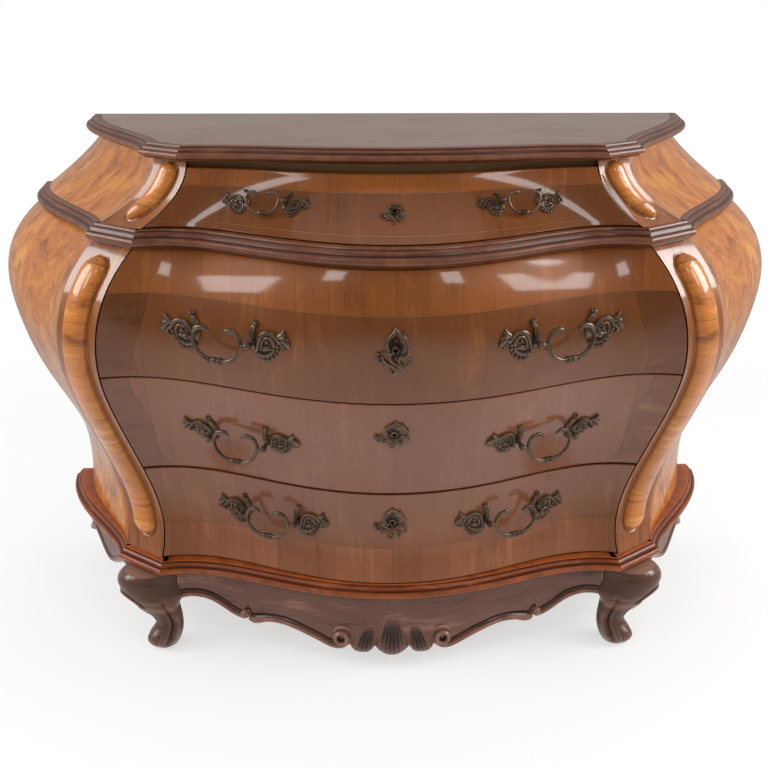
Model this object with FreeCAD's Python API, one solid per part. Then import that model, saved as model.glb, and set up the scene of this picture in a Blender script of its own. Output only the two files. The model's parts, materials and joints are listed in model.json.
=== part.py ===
"""Bombe chest of four drawers: a swelling walnut carcass on cabriole legs, with canted corners,
applied bolsters, three moulded rings, bowed drawers with locks and bail handles.

Millimetres. +Z is up, the front faces -Y, and the origin is on the floor under the middle of the
chest. A "reach" is a distance in front of the back plane, so y = half the depth - reach.
"""
import FreeCAD, Part

import os
from collections import namedtuple
from math import cos, pi, radians, sin, sqrt

from FreeCAD import Matrix, Vector

# ---------------------------------------------------------------- driving dimensions
# Heights, stacked from the floor up
leg_height = 132.0
base_ring_height = 26.0
lower_body_height = 552.0
waist_ring_height = 28.0
upper_body_height = 100.0
top_thickness = 22.0

# Drawer fronts, counted from the top; drawer 2 takes what is left of the lower body
drawer_3_height = 185.0
drawer_4_height = 163.0
reveal = 2.0
drawer_1_top_drop = 16.0
drawer_1_top_sag = 5.0
front_thickness = 26.0

# Plan of the chest at five levels: half width at the back, inner edge of the canted corner
# (half width and reach), reach of the middle of the front, and width of the cant
base_half_width = 590.0
base_corner_half = 390.0
base_corner_reach = 390.0
base_middle_reach = 489.0
base_cant = 92.0
waist_half_width = 640.0
waist_corner_half = 388.0
waist_corner_reach = 457.0
waist_middle_reach = 598.0
waist_cant = 92.0
upper_half_width = 621.0
upper_corner_half = 374.0
upper_corner_reach = 459.0
upper_middle_reach = 590.0
upper_cant = 92.0
neck_half_width = 515.0
neck_corner_half = 303.0
neck_corner_reach = 446.0
neck_middle_reach = 484.0
neck_cant = 70.0
top_half_width = 529.0
top_corner_half = 308.0
top_corner_reach = 459.0
top_middle_reach = 493.0
top_cant = 70.0
cant_angle = radians(39.0)
overall_depth = 618.7

# Control points of the serpentine front and the ogee sides, as shares of their plan
shoulder_place = 0.68
shoulder_fall = 0.33
crown_place = 0.44
side_lead = (0.05, 0.8)
side_belly = (0.93, 0.42)
front_flare = 2.0
side_flare = 1.25

# Swell of the lower body beyond the straight line from base to waist, as shares of the swells,
# at fractions of the height
side_swell = 82.0
corner_swell = 65.0
front_swell = 34.0
swell_levels = (0.0, 0.14, 0.29, 0.46, 0.63, 0.78, 0.90, 1.0)
side_shares = (0.0, -0.09, 0.04, 0.60, 0.93, 1.0, 0.68, 0.0)
corner_shares = (0.0, 0.02, 0.36, 0.75, 1.0, 0.92, 0.57, 0.0)
front_shares = (0.0, -0.93, -0.85, 0.0, 0.85, 1.05, 0.75, 0.0)

# Rings of moulding
ring_inset = 60.0
top_ring_inset = 12.0
waist_overhang = 16.0
base_overhang = 15.0
top_overhang = 15.0
waist_ring_half_width = 628.0
waist_ring_corner_half = 380.0
waist_ring_corner_reach = 464.0
base_ring_half_width = 612.0
base_ring_corner_half = 387.0
base_ring_corner_reach = 401.0
base_ring_middle_reach = 487.0

# Boards
side_thickness = 22.0
post_depth = 70.0
back_thickness = 8.0
back_gap = 2.0
board_thickness = 18.0
box_side = 12.0
box_bottom = 8.0
seam = 0.2
board_seam = 0.4
box_seam = 0.5
slide_gap = 0.3
rear_post_width = 45.0
rear_post_half = 452.0
guide_width = 12.0
guide_height = 15.0
guide_gap = 4.0
drawer_box_half = 374.0
drawer_1_box_half = 288.0
box_back_gap = 14.0
box_top_gap = 6.0

# Bolsters on the canted corners
bolster_half_width = 24.0
bolster_thickness = 15.0
bolster_place = 0.49
bolster_top_margin = 18.0
bolster_bottom_margin = 27.0
small_bolster_half_width = 17.0
small_bolster_top_margin = 6.0
small_bolster_bottom_margin = 9.0

# Legs and apron
knee_radius = 46.0
ankle_radius = 23.5
toe_radius = 28.0
knee_half = 419.0
knee_reach = 374.0
ankle_half = 383.0
ankle_reach = 396.0
toe_half = 391.0
toe_reach = 402.0
rear_leg_half = 544.0
rear_leg_reach = 54.0
rear_leg_set = 6.0
leg_levels = (0.0, 0.12, 0.34, 0.55, 0.74, 1.0)
apron_thickness = 22.0
apron_setback = 3.0
apron_half = 366.0
apron_end_depth = 56.0
apron_bead_half = 252.0
apron_bead_depth = 80.0
apron_scroll_half = 103.0
apron_scroll_depth = 102.0
apron_middle_depth = 98.0
bead_lift = 7.0
outer_wave = ((0.0, 0.0), (0.24, 14.7), (0.55, 13.2), (0.80, 1.1), (1.0, 0.0))
inner_wave = ((0.0, 0.0), (0.17, 1.8), (0.40, 12.5), (0.68, 10.1), (1.0, 0.0))
side_wave = ((0.0, -4.0), (0.25, 12.0), (0.5, -14.0), (0.75, 12.0), (1.0, -4.0))
side_apron_gap = 4.0
shell_lobes = 7
shell_lobe_length = 56.0
shell_lobe_radius = 10.0
shell_hub_depth = 42.0
shell_ground = 5.0
scroll_radius = 13.0
scroll_half = 84.0
scroll_depth = 78.0
bead_radius = 7.0

# Handles: full size on the three lower drawers, reduced on the top one
handle_1_half = 186.0
handle_2_half = 248.0
handle_3_half = 237.0
handle_4_half = 196.0
handle_1_scale = 0.62
handle_3_scale = 0.94
handle_4_scale = 0.92
pivot_half = 53.5
post_reach = 23.0
plate_thickness = 2.5
plate_root = 3.0
plate_layer = 8.0
window_place = 24.0
window_radius = 4.5
post_radius = 4.0
eye_radius = 5.0
pin_radius = 2.4
pin_clearance = 0.3
bail_radius = 3.2
bail_loop = 42.0
bail_corner = 33.0
bail_tip_loop = 15.0
bail_tip_run = 12.0
bail_rise = 3.0
handle_2_height = 592.0
handle_3_height = 414.0
handle_4_height = 252.0
handle_1_height = 778.0
handle_1_lean = radians(12.8)

# Locks and escutcheons
lock_half = 30.0
lock_height = 34.0
lock_1_height = 24.0
lock_depth = 15.0
lock_drop = 2.0
bolt_half = 9.0
bolt_thickness = 5.0
bolt_length = 16.0
bolt_clearance = 0.3
bolt_travel = 8.0
bolt_set_back = 12.0
mortise_clearance = 0.8
escutcheon_height = 62.0
escutcheon_2_height = 76.0
escutcheon_1_height = 42.0
escutcheon_share = 0.86
escutcheon_2_share = 0.64
key_radius = 3.2
key_slot = 8.0
keyhole_underrun = 1.0
keyhole_overrun = 30.0
sag_cut_side = 60.0
sag_cut_lead = 50.0
sag_cut_rise = 40.0
keyhole_height_1 = 774.0
keyhole_height_2 = 597.0
keyhole_height_3 = 452.0
keyhole_height_4 = 266.0

# ---------------------------------------------------------------- levels that follow
base_top = leg_height + base_ring_height
waist_bottom = base_top + lower_body_height
waist_top = waist_bottom + waist_ring_height
top_bottom = waist_top + upper_body_height
back_y = overall_depth / 2
joint_34 = base_top + drawer_4_height
joint_23 = joint_34 + drawer_3_height

# ---------------------------------------------------------------- plan of the chest
Plan = namedtuple("Plan", "back corner_half corner_reach middle cant")

BASE = Plan(base_half_width, base_corner_half, base_corner_reach, base_middle_reach, base_cant)
WAIST = Plan(waist_half_width, waist_corner_half, waist_corner_reach, waist_middle_reach, waist_cant)
UPPER = Plan(upper_half_width, upper_corner_half, upper_corner_reach, upper_middle_reach, upper_cant)
NECK = Plan(neck_half_width, neck_corner_half, neck_corner_reach, neck_middle_reach, neck_cant)
TOP = Plan(top_half_width, top_corner_half, top_corner_reach, top_middle_reach, top_cant)
WAIST_RING = Plan(
    waist_ring_half_width, waist_ring_corner_half, waist_ring_corner_reach, waist_middle_reach, waist_cant
)
BASE_RING = Plan(
    base_ring_half_width, base_ring_corner_half, base_ring_corner_reach, base_ring_middle_reach, base_cant
)


def share_curve(shares):
    """Smooth curve through the shares of a swell; its parameter is the fraction of the height."""
    curve = Part.BSplineCurve()
    points = [Vector(level, share, 0) for level, share in zip(swell_levels, shares)]
    curve.interpolate(Points=points, Parameters=list(swell_levels))
    return curve


side_curve = share_curve(side_shares)
corner_curve = share_curve(corner_shares)
front_curve = share_curve(front_shares)


def blend(low, high, fraction):
    """The plan a fraction of the way from one plan to another, in a straight line."""
    return Plan(*[a + (b - a) * fraction for a, b in zip(low, high)])


def lower_plan(z):
    """Plan of the lower body: a straight line from base to waist, and the swells beyond it."""
    fraction = min(max((z - base_top) / lower_body_height, 0.0), 1.0)
    line = blend(BASE, WAIST, fraction)
    forward = front_swell * front_curve.value(fraction).y
    return Plan(
        line.back + side_swell * side_curve.value(fraction).y,
        line.corner_half + corner_swell * corner_curve.value(fraction).y,
        line.corner_reach + forward,
        line.middle + forward,
        line.cant,
    )


def upper_plan(z):
    """Plan of the upper body: hollow in height, its sides flaring a little sooner than its front."""
    fraction = min(max((top_bottom - z) / upper_body_height, 0.0), 1.0)
    back = NECK.back + (UPPER.back - NECK.back) * fraction ** side_flare
    return blend(NECK, UPPER, fraction ** front_flare)._replace(back=back)


def body_plan(z):
    return lower_plan(z) if z <= waist_bottom else upper_plan(z)


def at(x, reach, z):
    """The point x to the right, reach in front of the back plane, z above the floor."""
    return Vector(x, back_y - reach, z)


def cant_outer(plan):
    """Outer edge of the canted corner: half width and reach."""
    return plan.corner_half + plan.cant * cos(cant_angle), plan.corner_reach - plan.cant * sin(cant_angle)


def front_frame(plan, half=None):
    """Half width and reach of the three control points of the serpentine front, from the corner."""
    half = plan.corner_half if half is None else half
    bow = plan.middle - plan.corner_reach
    shoulder = (shoulder_place * half, plan.corner_reach - shoulder_fall * bow)
    return (half, plan.corner_reach), shoulder, (crown_place * half, plan.middle)


def side_frame(plan):
    """Half width and reach of the four control points of the ogee side, from the cant back."""
    half, reach = cant_outer(plan)
    run = plan.back - half
    between = [(half + share * run, fall * reach) for share, fall in (side_lead, side_belly)]
    return (half, reach), between[0], between[1], (plan.back, 0.0)


def front_edge(plan, z, half=None, setback=0.0):
    """The whole front at one height, right to left: a cubic spline of two mirrored spans."""
    right = front_frame(plan, half)
    poles = [at(x, reach - setback, z) for x, reach in right]
    poles += [at(-x, reach - setback, z) for x, reach in reversed(right)]
    curve = Part.BSplineCurve()
    curve.buildFromPolesMultsKnots(poles, (4, 2, 4), (0.0, 0.5, 1.0), False, 3)
    return curve


def bezier(poles):
    curve = Part.BezierCurve()
    curve.setPoles(poles)
    return curve


def spline(points):
    curve = Part.BSplineCurve()
    curve.interpolate(points)
    return curve


def front_reach(plan, x):
    """Reach of the serpentine front at a given half width, by halving the spline's span."""
    curve = front_edge(plan, 0.0)
    low, high = 0.0, 0.5
    for _ in range(30):
        middle = (low + high) / 2
        if curve.value(middle).x > abs(x):
            low = middle
        else:
            high = middle
    return back_y - curve.value(low).y


# ---------------------------------------------------------------- solids
def loft(wires, ruled=False):
    """Closed solid through the wires, with flat ends."""
    solid = Part.makeLoft(wires, True, ruled)
    return solid if solid.Volume > 0 else solid.reversed()


def wire_of(curves):
    """Closed wire of curves and points: two points in a row are joined by a straight line."""
    return Part.Wire([curve.toShape() for curve in curves])


def line(a, b):
    return Part.LineSegment(a, b)


def mirrored(shape):
    """The left-hand copy of a right-hand piece."""
    return shape.mirror(Vector(0, 0, 0), Vector(1, 0, 0))


def pair(shape):
    """A right-hand piece and its left-hand copy, as two solids."""
    return Part.makeCompound([shape, mirrored(shape)])


def levels(low, high, count):
    return [low + (high - low) * i / (count - 1) for i in range(count)]


def block(half, near, far, low, high):
    """Board centred on the middle plane: half width, two reaches and two heights."""
    return Part.makeBox(2 * half, far - near, high - low, at(-half, far, low))


def slab(x_low, x_high, near, far, low, high):
    return Part.makeBox(x_high - x_low, far - near, high - low, at(x_low, far, low))


# ---------------------------------------------------------------- carcass sides and corners
def side_panel(plan_of, low, high, count):
    """Right side: the ogee carried through the height, shifted inwards for its inner face."""
    wires = []
    for z in levels(low, high, count):
        frame = list(side_frame(plan_of(z)))
        frame[0] = (frame[0][0], frame[0][1] - seam)
        outer = [at(x, reach, z) for x, reach in frame]
        inner = [at(x - side_thickness, reach, z) for x, reach in reversed(frame)]
        wires.append(
            wire_of([bezier(outer), line(outer[-1], inner[0]), bezier(inner), line(inner[-1], outer[0])])
        )
    return loft(wires)


def corner_post(plan_of, low, high, count):
    """Right canted corner: cant, return behind the drawer opening, and seat of the side panel."""
    wires = []
    for z in levels(low, high, count):
        plan = plan_of(z)
        half, reach = cant_outer(plan)
        corners = [
            at(half, reach, z),
            at(plan.corner_half, plan.corner_reach, z),
            at(plan.corner_half, plan.corner_reach - post_depth, z),
            at(half - side_thickness, reach, z),
        ]
        wires.append(wire_of([line(a, b) for a, b in zip(corners, corners[1:] + corners[:1])]))
    return loft(wires)


def cant_frame(plan_of, z, place):
    """Point on the right cant at a height, with its directions along, up and out."""
    def point(level):
        plan = plan_of(level)
        half, reach = cant_outer(plan)
        inner = at(plan.corner_half, plan.corner_reach, level)
        return inner + (at(half, reach, level) - inner) * place, (at(half, reach, level) - inner).normalize()

    middle, along = point(z)
    up = (point(z + 1.0)[0] - point(z - 1.0)[0]).normalize()
    out = up.cross(along).normalize()
    return middle, along, up, out if out.y < 0 else out * -1.0


def bolster(plan_of, low, high, half_width, count):
    """Raised pad on the right cant: a domed section carried up it, drawn in round both ends."""
    ends = [half_width * (1.0 - sqrt(1.0 - share * share)) for share in (0.3, 0.65, 0.9)]
    heights = [low] + [low + e + 1.0 for e in ends]
    heights += levels(low + half_width, high - half_width, count)
    heights += [high - e - 1.0 for e in reversed(ends)] + [high]
    shares = (0.25, 0.42, 0.72, 0.93) + (1.0,) * count + (0.93, 0.72, 0.42, 0.25)
    wires = []
    for z, share in zip(heights, shares):
        middle, along, _, out = cant_frame(plan_of, z, bolster_place)
        half = half_width * share
        rise = bolster_thickness * share
        foot = middle + out * seam
        poles = [
            foot + along * half,
            foot + along * half + out * rise,
            foot + out * (1.25 * rise),
            foot - along * half + out * rise,
            foot - along * half,
        ]
        wires.append(wire_of([bezier(poles), line(poles[-1], poles[0])]))
    return loft(wires)


# ---------------------------------------------------------------- rings of moulding
def unit(x, y):
    length = sqrt(x * x + y * y)
    return x / length, y / length


def mitre(a, b):
    """Outward direction of a mitre between two faces, long enough to offset both by one."""
    share = 1.0 + a[0] * b[0] + a[1] * b[1]
    return (a[0] + b[0]) / share, (a[1] + b[1]) / share


def cubic(frame, t):
    """Point and outward normal of a cubic, in half width and reach."""
    weights = ((1 - t) ** 3, 3 * t * (1 - t) ** 2, 3 * t * t * (1 - t), t ** 3)
    slopes = (-3 * (1 - t) ** 2, 3 * (1 - t) * (1 - 3 * t), 3 * t * (2 - 3 * t), 3 * t * t)
    x, reach = (sum(w * p[i] for w, p in zip(weights, frame)) for i in (0, 1))
    dx, dreach = (sum(w * p[i] for w, p in zip(slopes, frame)) for i in (0, 1))
    return (x, reach), unit(dx, dreach)


def ring_runs(plan, count=9):
    """Points and outward directions of a ring: the front, the right cant and the right side."""
    front = list(front_frame(plan)) + [(0.0, plan.middle)]
    side = side_frame(plan)
    outer, inner = cant_outer(plan), (plan.corner_half, plan.corner_reach)
    cant_normal = unit(inner[1] - outer[1], outer[0] - inner[0])
    half_front = []
    for i in range(count):
        point, tangent = cubic(front, i / (count - 1))
        half_front.append((point, (tangent[1], -tangent[0])))
    run_side = []
    for i in range(count):
        point, tangent = cubic(side, i / (count - 1))
        run_side.append((point, (-tangent[1], tangent[0])))
    front_corner = mitre(half_front[0][1], cant_normal)
    side_corner = mitre(cant_normal, run_side[0][1])
    half_front[0] = (half_front[0][0], front_corner)
    half_front[-1] = (half_front[-1][0], (0.0, 1.0))
    run_side[0] = (run_side[0][0], side_corner)
    run_side[-1] = (run_side[-1][0], (1.0 / run_side[-1][1][0], 0.0))
    left = [((-p[0], p[1]), (-d[0], d[1])) for p, d in reversed(half_front[:-1])]
    return half_front + left, [(outer, side_corner), (inner, front_corner)], run_side


def moulding(run, profile, low):
    """Length of moulding: the profile's lines and curves carried along a run of the ring."""
    wires = []
    for point, direction in run:
        def place(offset, height):
            return at(point[0] + offset * direction[0], point[1] + offset * direction[1], low + height)

        edges = []
        for stretch in profile:
            poles = [place(*corner) for corner in stretch]
            edges.append(line(*poles) if len(poles) == 2 else bezier(poles))
        wires.append(wire_of(edges))
    return loft(wires)


def ring_profile(height, overhang, inset):
    """Section of a ring: fillet, hollow, rounded nose and foot, in offsets and heights."""
    nose_top = 0.62 * height
    nose_low = 0.16 * height
    arris = 0.16 * overhang
    throat = 0.52 * overhang
    return (
        ((-inset, 0.0), (-inset, height)),
        ((-inset, height), (arris, height)),
        ((arris, height), (arris + 0.5, height - 0.1 * height)),
        ((arris + 0.5, height - 0.1 * height), (throat, 0.84 * height), (throat + 1.0, nose_top)),
        (
            (throat + 1.0, nose_top),
            (overhang + 0.5, nose_top),
            (overhang + 1.6, (nose_top + nose_low) / 2),
            (overhang + 0.5, nose_low),
            (throat + 1.0, nose_low),
        ),
        ((throat + 1.0, nose_low), (0.28 * overhang, 0.0)),
        ((0.28 * overhang, 0.0), (-inset, 0.0)),
    )


def ring(plan, low, height, overhang, inset):
    """The five mitred lengths of a ring, front first."""
    profile = ring_profile(height, overhang, inset)
    front, cant, side = (moulding(run, profile, low) for run in ring_runs(plan))
    return [front, cant, mirrored(cant), side, mirrored(side)]


def bolt_mortise(reach, underside):
    """Space for a lock bolt in the underside of a rail."""
    half = bolt_half + mortise_clearance
    return block(
        half,
        reach - mortise_clearance,
        reach + bolt_thickness + mortise_clearance,
        underside - 1.0,
        underside + bolt_travel + mortise_clearance,
    )


# ---------------------------------------------------------------- drawers
Drawer = namedtuple("Drawer", "number low high floor ceiling box_half lock_height key_height")


def drawer_list():
    """The four drawers: front's heights, box's heights and half width, lock and keyhole."""
    top_rail_low = top_bottom - board_thickness - seam
    lower = joint_34 - board_thickness / 2, joint_34 + board_thickness / 2
    middle = joint_23 - board_thickness / 2, joint_23 + board_thickness / 2
    return (
        Drawer(1, waist_top + reveal, top_bottom - drawer_1_top_drop + drawer_1_top_sag,
               waist_top, top_rail_low, drawer_1_box_half, lock_1_height, keyhole_height_1),
        Drawer(2, joint_23 + reveal / 2, waist_bottom - reveal,
               middle[1], waist_bottom, drawer_box_half, lock_height, keyhole_height_2),
        Drawer(3, joint_34 + reveal, joint_23 - reveal / 2,
               lower[1], middle[0], drawer_box_half, lock_height, keyhole_height_3),
        Drawer(4, base_top + reveal, joint_34 - reveal,
               base_top, lower[0], drawer_box_half, lock_height, keyhole_height_4),
    )


def drawer_front_block(drawer, count=11):
    """Bowed front: the serpentine surface of the body, carried back by the front's thickness."""
    wires = []
    for z in levels(drawer.low, drawer.high, count):
        plan = body_plan(z)
        half = plan.corner_half - reveal
        outer = front_edge(plan, z, half)
        inner = front_edge(plan, z, half, front_thickness)
        wires.append(
            wire_of(
                [
                    outer,
                    line(outer.value(1), inner.value(1)),
                    inner,
                    line(inner.value(0), outer.value(0)),
                ]
            )
        )
    return loft(wires)


def sagged_top(drawer):
    """Prism above a top edge that dips towards the middle, to be cut from the top drawer."""
    half = neck_corner_half + sag_cut_side
    lead = back_y + sag_cut_lead
    left = Vector(-half, -lead, drawer.high)
    right = Vector(half, -lead, drawer.high)
    dip = Vector(0, -lead, drawer.high - drawer_1_top_sag)
    above = Vector(0, 0, sag_cut_rise)
    outline = [Part.Arc(left, dip, right), line(right, right + above),
               line(right + above, left + above), line(left + above, left)]
    return Part.Face(wire_of(outline)).extrude(Vector(0, overall_depth, 0))


def inner_reach(drawer, low, high, half):
    """Smallest and largest reach of the front's inner face over a stretch of height."""
    values = [
        front_reach(body_plan(z), x) - front_thickness for z in levels(low, high, 5) for x in (0.0, half)
    ]
    return min(values), max(values)


def lock_place(drawer):
    """Top of the lock case, and the reach of its bolt's back face."""
    top = drawer.ceiling - lock_drop
    near, far = inner_reach(drawer, top - drawer.lock_height, top, lock_half)
    return top, near, far


def lock_case(drawer, front):
    """Lock case let against the inside of the front, with a slot for its bolt."""
    top, near, far = lock_place(drawer)
    case = block(lock_half, near - lock_depth, far + 2.0, top - drawer.lock_height, top)
    slot = block(
        bolt_half + bolt_clearance,
        near - bolt_set_back - bolt_clearance,
        near - bolt_set_back + bolt_thickness + bolt_clearance,
        top - bolt_length - bolt_clearance,
        top + 1.0,
    )
    return case.cut(front).cut(slot)


def lock_bolt(drawer):
    """Bolt, flush with the top of its case when drawn in."""
    top, near, _ = lock_place(drawer)
    reach = near - bolt_set_back
    return block(bolt_half, reach, reach + bolt_thickness, top - bolt_length, top)


def keyhole(drawer):
    """Round hole and slot through the front and its escutcheon."""
    z = drawer.key_height
    low, high = z - key_slot, z + key_radius
    start = inner_reach(drawer, low, high, 0.0)[0] - keyhole_underrun
    end = max(front_reach(body_plan(level), 0.0) for level in (low, high)) + keyhole_overrun
    hole = Part.makeCylinder(key_radius, end - start, at(0, end, z), Vector(0, 1, 0))
    return hole.fuse(slab(-key_radius / 2, key_radius / 2, start, end, low, z))


def ahead_of_box(drawer, count=11):
    """Everything in front of a seam behind a drawer's front, a little beyond its height."""
    wires = []
    for z in levels(drawer.floor - 1.0, drawer.ceiling + 1.0, count):
        plan = body_plan(min(max(z, drawer.floor + 0.1), drawer.ceiling))
        inner = front_edge(plan, z, plan.corner_half - reveal, front_thickness + box_seam)
        right, left = inner.value(0), inner.value(1)
        ahead = Vector(0, -overall_depth, 0)
        far_left, far_right = left + ahead, right + ahead
        rest = [line(left, far_left), line(far_left, far_right), line(far_right, right)]
        wires.append(wire_of([inner] + rest))
    return loft(wires)


def drawer_box(drawer, ahead):
    """Two sides and a back, the sides cut to the curve of the front."""
    low = drawer.floor + slide_gap
    high = drawer.ceiling - box_top_gap
    near = back_thickness + box_back_gap
    far = body_plan(drawer.high).middle
    side = slab(drawer.box_half - box_side, drawer.box_half, near, far, low, high).cut(ahead).Solids[0]
    back = block(drawer.box_half - box_side, near, near + box_side, low + 2 * box_bottom, high - box_side)
    return Part.makeCompound([side, mirrored(side), back])


def drawer_bottom(drawer, ahead):
    """Bottom board between the sides, cut to the curve of the front."""
    low = drawer.floor + slide_gap + box_bottom
    near = back_thickness + box_back_gap
    far = body_plan(drawer.low).middle
    board = block(drawer.box_half - box_side, near, far, low, low + box_bottom)
    return board.cut(ahead).Solids[0]


# ---------------------------------------------------------------- boards inside the carcass
def rear_post(clearance=0.0):
    """Right rear post, standing inside the back panel from the base ring to the top."""
    half = rear_post_width / 2 + clearance
    near = back_thickness + seam
    return slab(rear_post_half - half, rear_post_half + half, near - clearance,
                near + rear_post_width + clearance, base_top - clearance, top_bottom + clearance)


def around_posts(board):
    """A board notched round the rear posts."""
    post = rear_post(seam)
    return board.cut(post).cut(mirrored(post))


def divider(plan_low, plan_high, low, high, setback):
    """Board between drawers, its front edge behind the fronts above and below it."""
    plan = Plan(*[min(a, b) for a, b in zip(plan_low, plan_high)])
    half = plan.corner_half - seam
    edge = front_edge(plan, low, half, setback)
    near = back_thickness + seam
    right, left = edge.value(0), edge.value(1)
    back_right, back_left = at(half, near, low), at(-half, near, low)
    sides = [line(left, back_left), line(back_left, back_right), line(back_right, right)]
    face = Part.Face(wire_of([edge] + sides))
    return around_posts(face.extrude(Vector(0, 0, high - low)))


def body_board(z, thickness):
    """Divider between two drawers of the lower body."""
    low, high = z - thickness / 2, z + thickness / 2
    return divider(body_plan(low), body_plan(high), low, high, front_thickness + 1.0)


def ring_field(plan, inset, low, thickness):
    """Board that fills a ring of moulding, back to the back plane."""
    front, _, side = ring_runs(plan)
    inset = inset + board_seam

    def inner(run):
        return [at(p[0] - inset * d[0], p[1] - inset * d[1], low) for p, d in run]

    front_points, side_points = inner(front), inner(side)
    flipped = [Vector(-p.x, p.y, p.z) for p in side_points]
    outline = [
        spline(front_points),
        line(front_points[-1], flipped[0]),
        spline(flipped),
        line(flipped[-1], side_points[-1]),
        spline(side_points[::-1]),
        line(side_points[0], front_points[0]),
    ]
    return Part.Face(wire_of(outline)).extrude(Vector(0, 0, thickness))


def waist_board():
    """Board between drawers 1 and 2, inside the waist ring and in front of the back panel."""
    low = waist_top - board_thickness
    board = ring_field(WAIST_RING, ring_inset, low, board_thickness)
    strip = block(waist_ring_half_width, -1.0, back_thickness + seam, low - 1.0, waist_top + 1.0)
    return around_posts(board.cut(strip))


def back_outline():
    """Half of the back panel's outline: body, ring and neck, at their inner faces."""
    clear = side_thickness + back_gap
    lower_levels = levels(base_top + seam, waist_bottom - seam, 21)
    upper_levels = levels(waist_top + seam, top_bottom - seam, 5)
    lower = [Vector(lower_plan(z).back - clear, 0, z) for z in lower_levels]
    upper = [Vector(upper_plan(z).back - clear, 0, z) for z in upper_levels]
    step = waist_ring_half_width - ring_inset - back_gap
    return lower, [Vector(step, 0, waist_bottom - seam), Vector(step, 0, waist_top + seam)], upper


def back_panel():
    """Flat back board, its edges following the swell of the sides."""
    lower, step, upper = back_outline()
    right = [spline(lower), line(lower[-1], step[0]), line(step[0], step[1]),
             line(step[1], upper[0]), spline(upper)]

    def flip(point):
        return Vector(-point.x, point.y, point.z)

    left = [spline([flip(p) for p in reversed(upper)]), line(flip(upper[0]), flip(step[1])),
            line(flip(step[1]), flip(step[0])), line(flip(step[0]), flip(lower[-1])),
            spline([flip(p) for p in reversed(lower)])]
    outline = right + [line(upper[-1], flip(upper[-1]))] + left + [line(flip(lower[0]), lower[0])]
    face = Part.Face(wire_of(outline))
    board = face.extrude(Vector(0, back_thickness, 0))
    board.translate(Vector(0, back_y - back_thickness, 0))
    return board


def guides():
    """Strips beside each drawer box, standing on the board or ring below."""
    strips = []
    for drawer in drawer_list():
        inner = drawer.box_half + slide_gap
        plans = [body_plan(z) for z in (drawer.floor, drawer.floor + guide_height)]
        far = min(p.corner_reach for p in plans) - post_depth - guide_gap
        near = back_thickness + rear_post_width + guide_gap
        strip = slab(inner, inner + guide_width, near, far, drawer.floor, drawer.floor + guide_height)
        strips += [strip, mirrored(strip)]
    return Part.makeCompound(strips)


# ---------------------------------------------------------------- top, legs and aprons
def round_leg(stations, count=13):
    """Leg of circles on smooth curves through its stations of half width, reach and radius."""
    curves = []
    for column in zip(*stations):
        curve = Part.BSplineCurve()
        points = [Vector(level, value, 0) for level, value in zip(leg_levels, column)]
        curve.interpolate(Points=points, Parameters=list(leg_levels))
        curves.append(curve)
    wires = []
    for level in levels(0.0, 1.0, count):
        half, reach, radius = (curve.value(level).y for curve in curves)
        centre = at(half, reach, level * leg_height)
        wires.append(wire_of([Part.Circle(centre, Vector(0, 0, 1), radius)]))
    return loft(wires)


def front_leg():
    """Right cabriole leg: full knee, drawn-in ankle and a toe that turns outwards."""
    calf_half, calf_reach = 0.5 * (ankle_half + knee_half), 0.5 * (ankle_reach + knee_reach)
    return round_leg(
        (
            (toe_half, toe_reach, 0.66 * toe_radius),
            (toe_half, toe_reach, toe_radius),
            (ankle_half, ankle_reach, ankle_radius),
            (calf_half, calf_reach, 0.74 * knee_radius),
            (knee_half, knee_reach, knee_radius),
            (knee_half, knee_reach, 0.84 * knee_radius),
        )
    )


def rear_leg():
    """Right rear leg, a plainer cabriole."""
    toe = rear_leg_half - rear_leg_set
    return round_leg(
        (
            (toe, rear_leg_reach, 0.66 * toe_radius),
            (toe, rear_leg_reach, 0.95 * toe_radius),
            (toe - rear_leg_set, rear_leg_reach, ankle_radius),
            (toe, rear_leg_reach, 0.70 * knee_radius),
            (rear_leg_half, rear_leg_reach, 0.95 * knee_radius),
            (rear_leg_half, rear_leg_reach, 0.84 * knee_radius),
        )
    )


def apron_outline():
    """Right half of the front apron's lower edge, from the leg inwards: two waves and the middle."""
    def wave(start, end, stations):
        half, height = end[0] - start[0], end[1] - start[1]
        return [(start[0] + share * half, start[1] + share * height + rise) for share, rise in stations]

    leg = (apron_half, leg_height - apron_end_depth)
    bead = (apron_bead_half, leg_height - apron_bead_depth)
    scroll = (apron_scroll_half, leg_height - apron_scroll_depth)
    return wave(leg, bead, outer_wave), wave(bead, scroll, inner_wave), (0.0, leg_height - apron_middle_depth)


def apron_plan():
    """Plan of the front apron's face, a little behind the body above it."""
    return BASE_RING._replace(
        corner_reach=BASE_RING.corner_reach - apron_setback, middle=BASE_RING.middle - apron_setback
    )


def apron_band():
    """The front apron before it is shaped: a full-depth band on the serpentine of the base."""
    front = front_edge(apron_plan(), 0.0)
    back = front_edge(apron_plan(), 0.0, None, apron_thickness)
    outline = [front, line(front.value(1), back.value(1)), back, line(back.value(0), front.value(0))]
    return Part.Face(wire_of(outline)).extrude(Vector(0, 0, leg_height))


def front_apron():
    """Shaped board under the front ring."""
    outer, inner, middle = apron_outline()

    def place(point, side):
        return Vector(side * point[0], -overall_depth, point[1])

    curves = []
    for side in (1, -1):
        curves += [
            spline([place(p, side) for p in outer]),
            spline([place(p, side) for p in inner]),
            line(place(inner[-1], side), place(middle, side)),
        ]
    ends = [place((apron_half, leg_height), side) for side in (1, -1)]
    curves += [line(ends[0], place(outer[0], 1)), line(ends[1], place(outer[0], -1)), line(*ends)]
    edges = Part.sortEdges([curve.toShape() for curve in curves])[0]
    shape = Part.Face(Part.Wire(edges)).extrude(Vector(0, 2 * overall_depth, 0))
    return apron_band().common(shape).Solids[0]


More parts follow.
